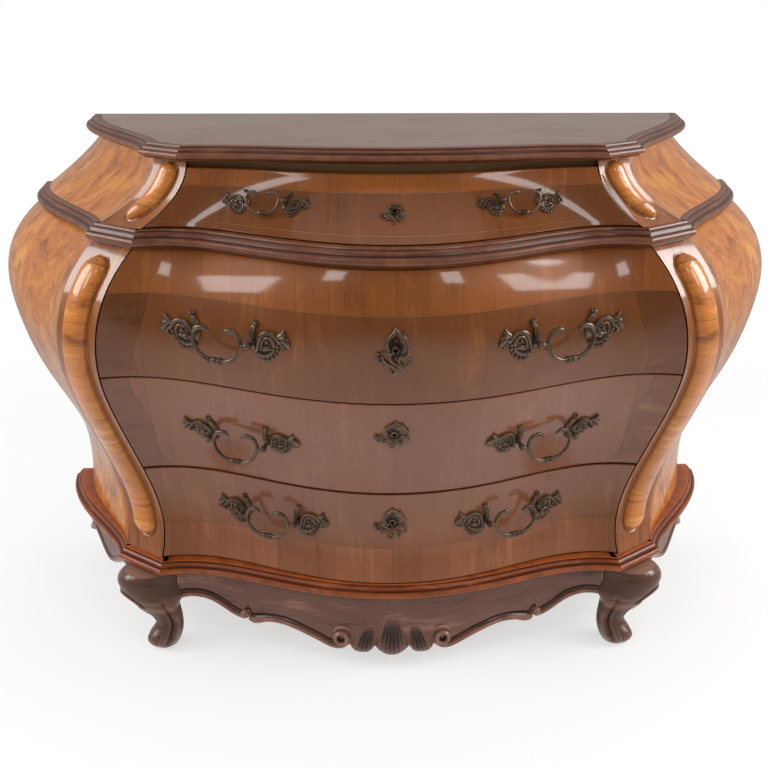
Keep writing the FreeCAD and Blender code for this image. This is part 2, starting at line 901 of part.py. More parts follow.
def side_apron():
    """Right side apron: a shaped strip following the ogee of the base between the legs."""
    frame = side_frame(BASE_RING._replace(back=BASE_RING.back - apron_setback))
    outer = bezier([at(x - apron_setback, reach, 0.0) for x, reach in frame])
    inner = bezier([at(x - apron_setback - apron_thickness, reach, 0.0) for x, reach in frame])
    outline = [outer, line(outer.value(1), inner.value(1)), inner, line(inner.value(0), outer.value(0))]
    band = Part.Face(wire_of(outline)).extrude(Vector(0, 0, leg_height))
    near = rear_leg_reach + knee_radius + side_apron_gap
    far = knee_reach - knee_radius - side_apron_gap
    low = leg_height - apron_end_depth
    edge = spline([at(0, near + share * (far - near), low + rise) for share, rise in side_wave])
    first, last = edge.value(edge.FirstParameter), edge.value(edge.LastParameter)
    top_first, top_last = at(0, near, leg_height), at(0, far, leg_height)
    shape = Part.Face(
        wire_of([edge, line(last, top_last), line(top_last, top_first), line(top_first, first)])
    ).extrude(Vector(overall_depth * 2, 0, 0))
    return band.common(shape).Solids[0]


def apron_shell(band):
    """Scallop shell under the middle of the apron: tapered lobes fanned over a half disc."""
    hub = at(0, apron_plan().middle, leg_height - shell_hub_depth)
    back = Vector(0, 2 * shell_ground, 0)
    pieces = [
        Part.makeCylinder(shell_lobe_length, 3 * shell_ground, hub + back, Vector(0, -1, 0)).common(
            slab(-shell_lobe_length, shell_lobe_length, 0.0, overall_depth, 0.0, hub.z + 1.0)
        )
    ]
    for i in range(shell_lobes):
        angle = pi * (i + 0.5) / shell_lobes - pi / 2
        direction = Vector(sin(angle), 0, -cos(angle))
        root = 0.3 * shell_lobe_radius
        pieces.append(Part.makeCone(root, shell_lobe_radius, shell_lobe_length, hub, direction))
        pieces.append(Part.makeSphere(shell_lobe_radius, hub + direction * shell_lobe_length))
    shell = pieces[0].multiFuse(pieces[1:]).cut(band)
    return max(shell.Solids, key=lambda solid: solid.Volume)


def apron_boss(band, half, height, radius):
    """Rolled end of a carved scroll on the right of the apron: a bevelled boss on its face."""
    plan = apron_plan()
    bevel = 0.4 * radius
    front = at(half, front_reach(plan, half - radius) + 0.35 * radius, height)
    root = at(half, front_reach(plan, half + radius) - 1.0, height)
    forward = Vector(0, -1, 0)
    boss = Part.makeCylinder(radius, root.y - front.y, root, forward)
    crown = Part.makeCone(radius, radius - bevel, bevel, front, forward)
    return max(boss.fuse(crown).cut(band).Solids, key=lambda solid: solid.Volume)


# ---------------------------------------------------------------- handles and escutcheons
def surface_frame(x, z):
    """Point on the drawer fronts, with directions across, up and out."""
    step = 0.5
    reach = front_reach(body_plan(z), x)
    sign = 1.0 if x >= 0 else -1.0
    ahead, behind = (front_reach(body_plan(z), abs(x) + shift) for shift in (step, -step))
    slope_x = (ahead - behind) / (2 * step)
    slope_x = 0.0 if x == 0 else slope_x * sign
    slope_z = (front_reach(body_plan(z + step), x) - front_reach(body_plan(z - step), x)) / (2 * step)
    across = Vector(1, -slope_x, 0).normalize()
    rise = Vector(0, -slope_z, 1).normalize()
    out = across.cross(rise).normalize()
    out = out if out.y < 0 else out * -1.0
    up = out.cross(across).normalize()
    return at(x, reach, z), across, up if up.z > 0 else up * -1.0, out


def plate_outline():
    """Outline of a full-size handle plate, outwards from its post: prong, arch, horn and fan."""
    return (
        (-5.0, -4.0), (-5.0, 9.0), (-3.0, 20.0), (0.0, 30.0), (6.0, 31.0), (8.0, 20.0), (12.0, 13.0),
        (24.0, 17.0), (38.0, 14.0), (48.0, 23.0), (54.0, 16.0), (60.0, -3.0), (46.0, -8.0),
        (34.0, -9.0), (33.0, -20.0), (22.0, -29.0), (10.0, -27.0), (2.0, -14.0),
    )


def laid_piece(outline, frame, scale_across, scale_up, seat):
    """Plate of even thickness inside a closed smooth outline, following the surface of its seat."""
    point, across, up, out = frame
    curve = Part.BSplineCurve()
    points = [
        point + across * (u * scale_across) + up * (v * scale_up) - out * plate_layer for u, v in outline
    ]
    curve.interpolate(Points=points, PeriodicFlag=True)
    prism = Part.Face(wire_of([curve])).extrude(out * (2 * plate_layer))
    return prism.common(shifted(seat, plate_thickness)).cut(seat)


def handle_frame(x_middle, z, scale):
    """Pivot points and plate frames of a handle, left and right."""
    _, across, _, _ = surface_frame(x_middle, z)
    ends = []
    for side in (-1.0, 1.0):
        x = x_middle + side * pivot_half * scale * across.x
        frame = surface_frame(x, z)
        ends.append((frame[0] + frame[3] * (post_reach * scale), frame, side))
    axis = (ends[1][0] - ends[0][0]).normalize()
    return ends, axis


def handle_plates(x_middle, z, scale, seat):
    """Two pierced plates, each with a post and an eye for the bail's pin."""
    ends, axis = handle_frame(x_middle, z, scale)
    plates = []
    for pivot, frame, side in ends:
        point, across, _, out = frame
        body = laid_piece(plate_outline(), frame, side * scale, scale, seat)
        root = point - out * plate_root
        window_root = point - out * plate_layer + across * (side * window_place * scale)
        window = Part.makeCylinder(window_radius * scale, 2 * plate_layer, window_root, out)
        post = Part.makeCylinder(post_radius * scale, post_reach * scale + plate_root, root, out).cut(seat)
        eye = Part.makeSphere(eye_radius * scale, pivot)
        hole_root = pivot - axis * (2 * eye_radius)
        hole = Part.makeCylinder(pin_radius * scale + pin_clearance, 4 * eye_radius, hole_root, axis)
        piece = body.cut(window).fuse([post, eye]).cut(hole)
        plates.append(max(piece.Solids, key=lambda solid: solid.Volume))
    return plates


def rod(start, end, radius):
    return Part.makeCylinder(radius, (end - start).Length, start, end - start)


def ring_arc(centre, radius, start, sweep, tube):
    """Stretch of a round ring in the plane of a bail, from one angle through another."""
    arc = Part.makeTorus(radius, tube, Vector(), Vector(0, 0, 1), -180, 180, sweep)
    arc.rotate(Vector(), Vector(0, 0, 1), start)
    arc.translate(centre)
    return arc


def placed(shape, origin, across, along):
    """The shape carried from the origin's axes to an origin and two directions of its own."""
    normal = across.cross(along)
    rows = []
    for i in range(3):
        rows += [across[i], along[i], normal[i], origin[i]]
    copy = shape.copy()
    copy.transformShape(Matrix(*rows, 0, 0, 0, 1))
    return copy


def bail(x_middle, z, scale, lean):
    """Hanging bail of a right-hand handle: a flattened loop below the pins, and a curled tip above
    each of them."""
    ends, axis = handle_frame(x_middle, z, scale)
    middle = (ends[0][0] + ends[1][0]) * 0.5
    half = (ends[1][0] - ends[0][0]).Length / 2
    level_out = Vector(0, 0, 1).cross(axis).normalize()
    level_out = level_out if level_out.y < 0 else level_out * -1.0
    true_up = axis.cross(level_out).normalize()
    true_up = true_up if true_up.z > 0 else true_up * -1.0
    down = true_up * -cos(lean) + level_out * sin(lean)

    full_size = (bail_loop, bail_corner, bail_tip_loop, bail_rise, bail_radius, pin_radius)
    loop, corner, tip, rise, tube, pin = [value * scale for value in full_size]
    flat = loop - corner
    turn = Vector(loop - tip, -rise - tip, 0)
    tip_end = turn - Vector(bail_tip_run * scale, 0, 0)
    pin_root = Vector(flat + sqrt(corner * corner - rise * rise) - 1.0, 0, 0)
    side = [
        ring_arc(Vector(flat, -rise, 0), corner, 0.0, 90.0, tube),
        ring_arc(Vector(loop - tip, -rise, 0), tip, -90.0, 90.0, tube),
        rod(turn, tip_end, tube),
        Part.makeSphere(1.25 * tube, tip_end, Vector(1, 0, 0)),
        rod(pin_root, Vector(half + (eye_radius - 0.5) * scale, 0, 0), pin),
    ]
    drop = corner - rise
    knop = Part.makeSphere(1.8 * tube, Vector(0.5 * flat, drop, 0), Vector(1, 0, 0))
    pieces = [rod(Vector(-flat, drop, 0), Vector(flat, drop, 0), tube)]
    pieces += side + [mirrored(piece) for piece in side] + [knop]
    return placed(pieces[0].multiFuse(pieces[1:]).Solids[0], middle, axis, down)


def escutcheon(drawer, height, share, seat):
    """Keyhole plate: a rococo cartouche seated on the bow of its drawer."""
    frame = surface_frame(0.0, drawer.key_height)
    outline = (
        (0.10, 0.50), (-0.12, 0.40), (-0.30, 0.34), (-0.50, 0.40), (-0.44, 0.16), (-0.36, 0.0),
        (-0.50, -0.14), (-0.38, -0.30), (-0.20, -0.34), (-0.04, -0.50), (0.14, -0.36),
        (0.34, -0.32), (0.46, -0.18), (0.38, 0.02), (0.50, 0.22), (0.34, 0.34), (0.22, 0.40),
    )
    plate = laid_piece(outline, frame, share * height, height, seat).cut(keyhole(drawer))
    return max(plate.Solids, key=lambda solid: solid.Volume)


# ---------------------------------------------------------------- the chest
handle_heights = {1: handle_1_height, 2: handle_2_height, 3: handle_3_height, 4: handle_4_height}
handle_places = {1: handle_1_half, 2: handle_2_half, 3: handle_3_half, 4: handle_4_half}
handle_scales = {1: handle_1_scale, 2: 1.0, 3: handle_3_scale, 4: handle_4_scale}
handle_leans = {1: handle_1_lean, 2: 0.0, 3: 0.0, 4: 0.0}
escutcheon_sizes = {
    1: (escutcheon_1_height, escutcheon_share), 2: (escutcheon_2_height, escutcheon_2_share),
    3: (escutcheon_height, escutcheon_share), 4: (escutcheon_height, escutcheon_share),
}


def shifted(shape, forward):
    """A copy of a shape, moved forward by a distance."""
    copy = shape.copy()
    copy.translate(Vector(0, -forward, 0))
    return copy


def build_drawer(drawer):
    """Every piece of one drawer, by node name."""
    name = "drawer_%d_" % drawer.number
    block_front = drawer_front_block(drawer)
    if drawer.number == 1:
        block_front = block_front.cut(sagged_top(drawer))
    ahead = ahead_of_box(drawer)
    seat = shifted(block_front, seam)
    scale = handle_scales[drawer.number]
    place = handle_places[drawer.number]
    z = handle_heights[drawer.number]
    lean = handle_leans[drawer.number]
    height, share = escutcheon_sizes[drawer.number]
    plates = handle_plates(place, z, scale, seat)
    right_bail = bail(place, z, scale, lean)
    return {
        name + "front": block_front.cut(keyhole(drawer)),
        name + "box": drawer_box(drawer, ahead),
        name + "bottom": drawer_bottom(drawer, ahead),
        name + "lock_case": lock_case(drawer, shifted(block_front, -seam)),
        name + "lock_bolt": lock_bolt(drawer),
        name + "escutcheon": escutcheon(drawer, height, share, seat),
        name + "handle_plates": pair(Part.makeCompound(plates)),
        name + "bail_left": mirrored(right_bail),
        name + "bail_right": right_bail,
    }


def build_carcass():
    """Every fixed piece of the chest, by node name."""
    drawers = drawer_list()
    bolts = {d.number: lock_place(d)[1] - bolt_set_back for d in drawers}
    waist = ring(WAIST_RING, waist_bottom, waist_ring_height, waist_overhang, ring_inset)
    waist[0] = waist[0].cut(bolt_mortise(bolts[2], waist_bottom))
    base = ring(BASE_RING, leg_height, base_ring_height, base_overhang, ring_inset)
    top = ring(TOP, top_bottom, top_thickness, top_overhang, top_ring_inset)
    bolster_low, bolster_high = base_top + bolster_bottom_margin, waist_bottom - bolster_top_margin
    long_bolster = bolster(lower_plan, bolster_low, bolster_high, bolster_half_width, 12)
    small_bolster = bolster(
        upper_plan, waist_top + small_bolster_bottom_margin, top_bottom - small_bolster_top_margin,
        small_bolster_half_width, 6,
    )
    rail_low = top_bottom - board_thickness
    band = apron_band()
    scroll = apron_boss(band, scroll_half, leg_height - scroll_depth, scroll_radius)
    bead = apron_boss(band, apron_bead_half, leg_height - apron_bead_depth + bead_lift, bead_radius)
    rear = rear_post()
    return {
        "top_panel": ring_field(TOP, top_ring_inset, top_bottom, top_thickness),
        "top_edge_moulding": Part.makeCompound(top),
        "upper_side_panels": pair(side_panel(upper_plan, waist_top, top_bottom, 7)),
        "upper_corner_posts": pair(corner_post(upper_plan, waist_top, top_bottom, 7)),
        "upper_corner_bolsters": pair(small_bolster),
        "waist_moulding": Part.makeCompound(waist),
        "side_panels": pair(side_panel(lower_plan, base_top, waist_bottom, 12)),
        "corner_posts": pair(corner_post(lower_plan, base_top, waist_bottom, 12)),
        "corner_bolsters": pair(long_bolster),
        "base_moulding": Part.makeCompound(base),
        "front_legs": pair(front_leg()),
        "rear_legs": pair(rear_leg()),
        "front_apron": front_apron(),
        "side_aprons": pair(side_apron()),
        "apron_carvings": Part.makeCompound(
            [apron_shell(band), scroll, mirrored(scroll), bead, mirrored(bead)]
        ),
        "rear_posts": pair(rear),
        "back_panel": back_panel(),
        "top_rail": divider(
            body_plan(rail_low), NECK, rail_low, top_bottom, front_thickness + 1.0
        ).cut(bolt_mortise(bolts[1], rail_low)),
        "divider_upper": waist_board(),
        "divider_middle": body_board(joint_23, board_thickness).cut(
            bolt_mortise(bolts[3], joint_23 - board_thickness / 2)
        ),
        "divider_lower": body_board(joint_34, board_thickness).cut(
            bolt_mortise(bolts[4], joint_34 - board_thickness / 2)
        ),
        "bottom_board": ring_field(BASE_RING, ring_inset, base_top - board_thickness, board_thickness),
        "drawer_guides": guides(),
    }


def build():
    """All nodes of the chest."""
    nodes = build_carcass()
    for drawer in drawer_list():
        nodes.update(build_drawer(drawer))
    return nodes


def main():
    os.makedirs("parts", exist_ok=True)
    for name, shape in build().items():
        shape.exportStep("parts/%s.step" % name)


main()
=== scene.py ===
"""Bombe chest of four drawers, dressed for show: veneered walnut fronts and sides, mouldings, carved
legs and apron, cast bronze handles and keyhole plates. Every surface is worked out from the chest's
own plan. Lengths in the formulas are millimetres; Blender's are metres.
"""
import json
from math import cos, radians, sin

import bpy
import numpy as np
from bpy.props import FloatProperty, FloatVectorProperty, IntProperty, PointerProperty
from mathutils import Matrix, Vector

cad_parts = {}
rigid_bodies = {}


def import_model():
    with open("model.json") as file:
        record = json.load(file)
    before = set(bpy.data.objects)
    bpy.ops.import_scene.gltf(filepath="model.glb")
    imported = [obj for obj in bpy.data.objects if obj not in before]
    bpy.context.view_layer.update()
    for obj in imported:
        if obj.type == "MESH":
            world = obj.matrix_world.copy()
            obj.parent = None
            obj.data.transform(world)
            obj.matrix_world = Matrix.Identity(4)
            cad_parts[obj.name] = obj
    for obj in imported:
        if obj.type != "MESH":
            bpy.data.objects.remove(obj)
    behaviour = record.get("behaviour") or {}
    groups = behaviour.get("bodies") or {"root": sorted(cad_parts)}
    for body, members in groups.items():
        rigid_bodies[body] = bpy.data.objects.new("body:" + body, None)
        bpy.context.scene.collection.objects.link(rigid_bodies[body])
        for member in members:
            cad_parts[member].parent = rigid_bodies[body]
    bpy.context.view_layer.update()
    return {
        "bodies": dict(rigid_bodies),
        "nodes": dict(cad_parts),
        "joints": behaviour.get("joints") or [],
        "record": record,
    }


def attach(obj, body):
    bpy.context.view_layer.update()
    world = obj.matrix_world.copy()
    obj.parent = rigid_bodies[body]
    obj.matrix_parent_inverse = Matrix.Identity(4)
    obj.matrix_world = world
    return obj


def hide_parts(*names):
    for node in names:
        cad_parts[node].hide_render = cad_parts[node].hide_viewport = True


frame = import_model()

bl_info = {
    "name": "Bombe chest",
    "version": (1, 0, 0),
    "blender": (4, 5, 0),
    "location": "View3D > Sidebar > Chest",
    "description": "Builds the surfaces, finishes and stage of a bombe chest of drawers",
    "category": "Add Mesh",
}

MM = 0.001

# ---------------------------------------------------------------- plan of the chest
# Half width at the back, inner edge of the canted corner, its reach, reach of the middle, cant
BASE = np.array((590.0, 390.0, 390.0, 489.0, 92.0))
WAIST = np.array((640.0, 388.0, 457.0, 598.0, 92.0))
UPPER = np.array((621.0, 374.0, 459.0, 590.0, 92.0))
NECK = np.array((515.0, 303.0, 446.0, 484.0, 70.0))
TOP_RING = np.array((529.0, 308.0, 459.0, 493.0, 70.0))
WAIST_RING = np.array((628.0, 380.0, 464.0, 598.0, 92.0))
BASE_RING = np.array((612.0, 387.0, 401.0, 487.0, 92.0))
HALF_DEPTH = 309.35
CANT_ANGLE = radians(39.0)

LEG_TOP, BASE_TOP, WAIST_LOW, WAIST_TOP, NECK_TOP = 132.0, 158.0, 710.0, 738.0, 838.0
REVEAL = 2.0
FRONT_THICKNESS, SIDE_THICKNESS, POST_DEPTH = 26.0, 22.0, 70.0

# The swells of side, corner and front: shares of the fullest at levels from base to waist
SIDE_SWELL, CORNER_SWELL, FRONT_SWELL = 82.0, 65.0, 34.0
SWELL_LEVELS = (0.0, 0.14, 0.29, 0.46, 0.63, 0.78, 0.90, 1.0)
SIDE_SHARES = (0.0, -0.09, 0.04, 0.60, 0.93, 1.0, 0.68, 0.0)
CORNER_SHARES = (0.0, 0.02, 0.36, 0.75, 1.0, 0.92, 0.57, 0.0)
FRONT_SHARES = (0.0, -0.93, -0.85, 0.0, 0.85, 1.05, 0.75, 0.0)
# Power of the fall of the upper body's back edge; the rest of it falls as the square
UPPER_BACK_FALL = 1.25
# Poles of the serpentine front (share of half width, share of the bow) and of the ogee side (share
# of the way out, share of the reach)
BOW_POLES = ((1.0, 0.0), (0.68, -0.33), (0.44, 1.0), (0.0, 1.0))
OGEE_POLES = ((0.0, 1.0), (0.05, 0.8), (0.93, 0.42), (1.0, 0.0))


def smooth(levels, values):
    """Curve through values at levels: cubics that match in slope and bend where they meet. The end
    slopes are those of the cubic through the four points nearest each end."""
    x = np.asarray(levels, float)
    y = np.asarray(values, float).reshape(len(x), -1)
    step = np.diff(x)
    rise = np.diff(y, axis=0)
    count = len(x)
    degree = min(count - 1, 3)
    system = np.eye(count)
    right = np.zeros_like(y)
    for end, part in ((0, slice(0, 4)), (count - 1, slice(-4, None))):
        poly = np.polyfit(x[part], y[part], degree)
        powers = np.arange(degree, 0, -1)
        right[end] = (poly[:-1] * (powers * x[end] ** (powers - 1.0))[:, None]).sum(0)
    inner = np.arange(1, count - 1)
    before, after = 1.0 / step[:-1], 1.0 / step[1:]
    system[inner, inner - 1], system[inner, inner + 1] = before, after
    system[inner, inner] = 2.0 * (before + after)
    right[inner] = 3.0 * (rise[:-1] * before[:, None] ** 2 + rise[1:] * after[:, None] ** 2)
    slope = np.linalg.solve(system, right)

    def value(t):
        t = np.asarray(t, float)
        i = np.clip(np.searchsorted(x, t, side="right") - 1, 0, count - 2)
        h = step[i][..., None]
        w = ((t - x[i]) / step[i])[..., None]
        found = (
            (1 + 2 * w) * (1 - w) ** 2 * y[i] + w * (1 - w) ** 2 * h * slope[i]
            + w * w * (3 - 2 * w) * y[i + 1] + w * w * (w - 1) * h * slope[i + 1]
        )
        return found[..., 0] if y.shape[1] == 1 else found

    return value


side_swell, corner_swell, front_swell = (
    smooth(SWELL_LEVELS, shares) for shares in (SIDE_SHARES, CORNER_SHARES, FRONT_SHARES)
)


def cubic(shares, t):
    """Cubic through its two end values, pulled towards the two between them."""
    a, b, c, d = shares
    return a * (1 - t) ** 3 + 3 * b * t * (1 - t) ** 2 + 3 * c * t * t * (1 - t) + d * t ** 3


def lower_plan(z):
    """Plan of the lower body at heights z: straight from base to waist, plus the three swells."""
    share = np.clip((np.asarray(z, float) - BASE_TOP) / (WAIST_LOW - BASE_TOP), 0.0, 1.0)
    line = BASE + (WAIST - BASE) * share[..., None]
    forward = FRONT_SWELL * front_swell(share)
    side, corner = SIDE_SWELL * side_swell(share), CORNER_SWELL * corner_swell(share)
    return line + np.stack((side, corner, forward, forward, 0.0 * share), -1)


def upper_plan(z):
    """Plan of the upper body: hollow in height, as the square of the fall from its top."""
    share = np.clip((NECK_TOP - np.asarray(z, float)) / (NECK_TOP - WAIST_TOP), 0.0, 1.0)
    plan = NECK + (UPPER - NECK) * share[..., None] ** 2
    plan[..., 0] = NECK[0] + (UPPER[0] - NECK[0]) * share ** UPPER_BACK_FALL
    return plan


def body_plan(z):
    """Plan of the whole body at heights z."""
    z = np.asarray(z, float)
    return np.where((z <= WAIST_LOW)[..., None], lower_plan(z), upper_plan(z))


BOW_X, BOW_Y = (cubic(shares, np.linspace(1.0, 0.0, 400)) for shares in zip(*BOW_POLES))


def bow(share):
    """How far along the bow the serpentine front stands, at a share of its half width."""
    return np.interp(np.abs(share), BOW_X, BOW_Y)


def front_reach(x, z, setback=0.0):
    """Reach of the serpentine front at x and z."""
    plan = body_plan(z)
    return plan[..., 2] + (plan[..., 3] - plan[..., 2]) * bow(x / (plan[..., 1] - setback))


def at(x, reach, z):
    """Points x to the right, reach in front of the back plane and z above the floor."""
    return layered(x, HALF_DEPTH - reach, z).astype(float)


def cant_outer(plan):
    """Half width and reach of the outer edge of the canted corner."""
    return plan[..., 1] + plan[..., 4] * cos(CANT_ANGLE), plan[..., 2] - plan[..., 4] * sin(CANT_ANGLE)


def side_line(plan, t):
    """Half width and reach of the ogee side, from the cant at t = 0 to the back at t = 1."""
    half, reach = cant_outer(plan)
    out, forward = (cubic(shares, t) for shares in zip(*OGEE_POLES))
    return half + (plan[..., 0] - half) * out, reach * forward


def unit(vectors):
    """The vectors at length 1."""
    return vectors / np.maximum(np.linalg.norm(vectors, axis=-1, keepdims=True), 1e-9)


def ease(value, low, high):
    """Smooth step from 0 at low to 1 at high."""
    share = np.clip((value - low) / (high - low), 0.0, 1.0)
    return share * share * (3.0 - 2.0 * share)


def hump(value, centre, width):
    """Bell of height 1 round a centre."""
    return np.exp(-(((value - centre) / width) ** 2))


def circle(count):
    """Angles of points evenly round a circle."""
    return np.linspace(0.0, 2 * np.pi, count + 1)[:-1]


def run_of(points):
    """How far along a line of points each of them stands."""
    return np.r_[0.0, np.cumsum(np.linalg.norm(np.diff(points, axis=0), axis=1))]


def layered(*coordinates):
    """Points from coordinates that are broadcast together."""
    return np.stack(np.broadcast_arrays(*coordinates), -1)


# ---------------------------------------------------------------- skins
def volume(points, quads, caps):
    """Signed volume inside a closed skin: tetrahedra from the origin to each face's triangles."""
    a, b, c, d = (points[quads[:, i]] for i in range(4))
    total = np.einsum("ij,ij->", a, np.cross(b, c)) + np.einsum("ij,ij->", a, np.cross(c, d))
    for cap in caps:
        ring = points[cap]
        total += np.einsum("ij,ij->", np.broadcast_to(ring[0], ring[1:-1].shape),
                           np.cross(ring[1:-1], ring[2:]))
    return total


def turned(skin):
    """The same skin with its faces turned the other way."""
    return dict(
        skin, quads=skin["quads"][:, ::-1], uv=skin["uv"][:, ::-1], caps=[c[::-1] for c in skin["caps"]]
    )


def woven(grid, uv=None, **data):
    """Closed skin over rings of points: each ring joins its last point to its first, the first and
    last rings are closed flat, and the faces are turned outwards. uv is in metres, one column more
    than the rings have points; without it, v runs along the rings' path and u round them."""
    rings, count = grid.shape[:2]
    if uv is None:
        along = run_of(grid.mean(1))
        looped = np.concatenate((grid, grid[:, :1]), 1)
        steps = np.linalg.norm(np.diff(looped, axis=1), axis=2).mean(0)
        around = np.r_[0.0, np.cumsum(steps)]
        uv = layered(around[None, :], along[:, None]) * MM
    index = np.arange(rings * count).reshape(rings, count)
    after = np.roll(index, -1, 1)
    quads = np.stack((index[:-1], after[:-1], after[1:], index[1:]), -1).reshape(-1, 4)
    corners = np.stack((uv[:-1, :-1], uv[:-1, 1:], uv[1:, 1:], uv[1:, :-1]), 2).reshape(-1, 4, 2)
    skin = {
        "points": grid.reshape(-1, 3), "quads": quads, "uv": corners,
        "caps": [index[0][::-1], index[-1]],
        "data": {name: np.asarray(values, float).reshape(rings * count, -1)
                 for name, values in data.items()},
    }
    return skin if volume(skin["points"], quads, skin["caps"]) > 0 else turned(skin)


def mirrored(skin):
    """Left-hand copy of a right-hand skin."""
    return turned(dict(skin, points=skin["points"] * (-1.0, 1.0, 1.0)))


def both(skins):
    """Right-hand skins with their left-hand copies."""
    return list(skins) + [mirrored(skin) for skin in skins]


HOLLOW_RADIUS = 0.004


def hollowness(mesh, points):
    """How hollow (positive) or ridged (negative) a skin is at each point: the bend towards the
    mean of its neighbours, against the hollow radius, averaged once with theirs."""
    count = len(points)
    edges = np.empty(2 * len(mesh.edges), np.int64)
    mesh.edges.foreach_get("vertices", edges)
    edges = edges.reshape(-1, 2)
    normals = np.empty(3 * count)
    mesh.vertex_normals.foreach_get("vector", normals)
    a, b = np.concatenate((edges, edges[:, ::-1])).T
    degree = np.maximum(np.bincount(a, minlength=count), 1)
    step = points[b] - points[a]
    bend = 2.0 * np.einsum("ij,ij->i", step, normals.reshape(-1, 3)[a])
    bend /= np.maximum(np.einsum("ij,ij->i", step, step), 1e-9)
    value = np.tanh(HOLLOW_RADIUS * np.bincount(a, bend, count) / degree)
    return 0.5 * value + 0.5 * np.bincount(a, value[b], count) / degree


def piece(name, skins, body, finish, nodes=(), crease=35.0):
    """Mesh object of several skins, riding on a body and standing for its nodes."""
    starts = np.cumsum([0] + [len(skin["points"]) for skin in skins])
    points = np.concatenate([skin["points"] for skin in skins]) * MM
    quads = np.concatenate([skin["quads"] + start for skin, start in zip(skins, starts)])
    caps = [cap + start for skin, start in zip(skins, starts) for cap in skin["caps"]]
    corners = np.concatenate([quads.ravel()] + caps)
    sizes = np.r_[np.full(len(quads), 4), [len(cap) for cap in caps]].astype(int)
    mesh = bpy.data.meshes.new(name)
    mesh.vertices.add(len(points))
    mesh.vertices.foreach_set("co", points.ravel().astype(np.float32))
    mesh.loops.add(len(corners))
    mesh.loops.foreach_set("vertex_index", corners.astype(np.int32))
    mesh.polygons.add(len(sizes))
    mesh.polygons.foreach_set("loop_start", np.r_[0, np.cumsum(sizes)[:-1]].astype(np.int32))
    mesh.update(calc_edges=True)
    layer = mesh.uv_layers.new(name="UVMap")
    uv = np.concatenate([skin["uv"].reshape(-1, 2) for skin in skins])
    flat = np.zeros((len(corners) - len(uv), 2))
    layer.data.foreach_set("uv", np.concatenate((uv, flat)).ravel().astype(np.float32))
    for key in sorted(set().union(*[skin["data"] for skin in skins])):
        width = max(skin["data"][key].shape[1] for skin in skins if key in skin["data"])
        values = np.concatenate(
            [skin["data"].get(key, np.zeros((len(skin["points"]), width))) for skin in skins]
        )
        kind, field = (("FLOAT", "value"), ("FLOAT_VECTOR", "vector"))[width > 1]
        attribute = mesh.attributes.new(key, kind, "POINT")
        attribute.data.foreach_set(field, values.ravel().astype(np.float32))
    mesh.attributes.new("hollow", "FLOAT", "POINT").data.foreach_set("value", hollowness(mesh, points))
    mesh.validate()
    mesh.shade_smooth()
    mesh.set_sharp_from_angle(angle=radians(crease))
    mesh.materials.append(finish)
    thing = bpy.data.objects.new(name, mesh)
    bpy.context.scene.collection.objects.link(thing)
    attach(thing, body)
    if nodes:
        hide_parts(*nodes)
    return thing


LEAST_STEP = 0.12


def spaced(low, high, step, *near):
    """Levels from low to high about step apart, with a closer run round each (centre, reach, step)."""
    levels = [np.linspace(low, high, max(2, int(round((high - low) / step)) + 1))]
    for centre, reach, fine in near:
        run = np.arange(centre - reach, centre + reach + fine / 2, fine)
        levels.append(run[(run > low) & (run < high)])
    found = np.unique(np.round(np.concatenate(levels), 3))
    return found[np.r_[True, np.diff(found) > LEAST_STEP]]


def rounded(distance, radius):
    """How far a rounded arris falls away, at a distance from the edge."""
    inside = np.clip(radius - distance, 0.0, radius)
    return radius - np.sqrt(np.maximum(radius * radius - inside * inside, 0.0))


def edge_steps(radius):
    """Offsets from an edge that carry its rounding."""
    return radius * np.array((0.0, 0.06, 0.2, 0.42, 0.7, 1.0))


# ---------------------------------------------------------------- drawer fronts
# Each drawer front: number, lower edge, upper edge
DRAWERS = ((1, 740.0, 827.0), (2, 507.0, 708.0), (3, 323.0, 505.0), (4, 160.0, 319.0))
KEY_HEIGHTS = {1: 774.0, 2: 597.0, 3: 452.0, 4: 266.0}
KEY_RADIUS, KEY_SLOT = 3.2, 8.0
SAG, SAG_HALF = 5.0, 363.0


def sagged(number, high, x):
    """Top edge of a front: the top drawer's dips towards the middle in a shallow arc."""
    return high - SAG * (1.0 - (x / SAG_HALF) ** 2) * (number == 1)


def in_keyhole(x, z, key):
    """1 inside the keyhole, 0 outside it, falling away over a fraction of a millimetre."""
    ring = np.hypot(x, z - key) - KEY_RADIUS
    slot = np.maximum(np.abs(x) - KEY_RADIUS / 2, np.maximum(z - key, key - KEY_SLOT - z))
    return 1.0 - ease(np.minimum(ring, slot), -0.15, 0.35)


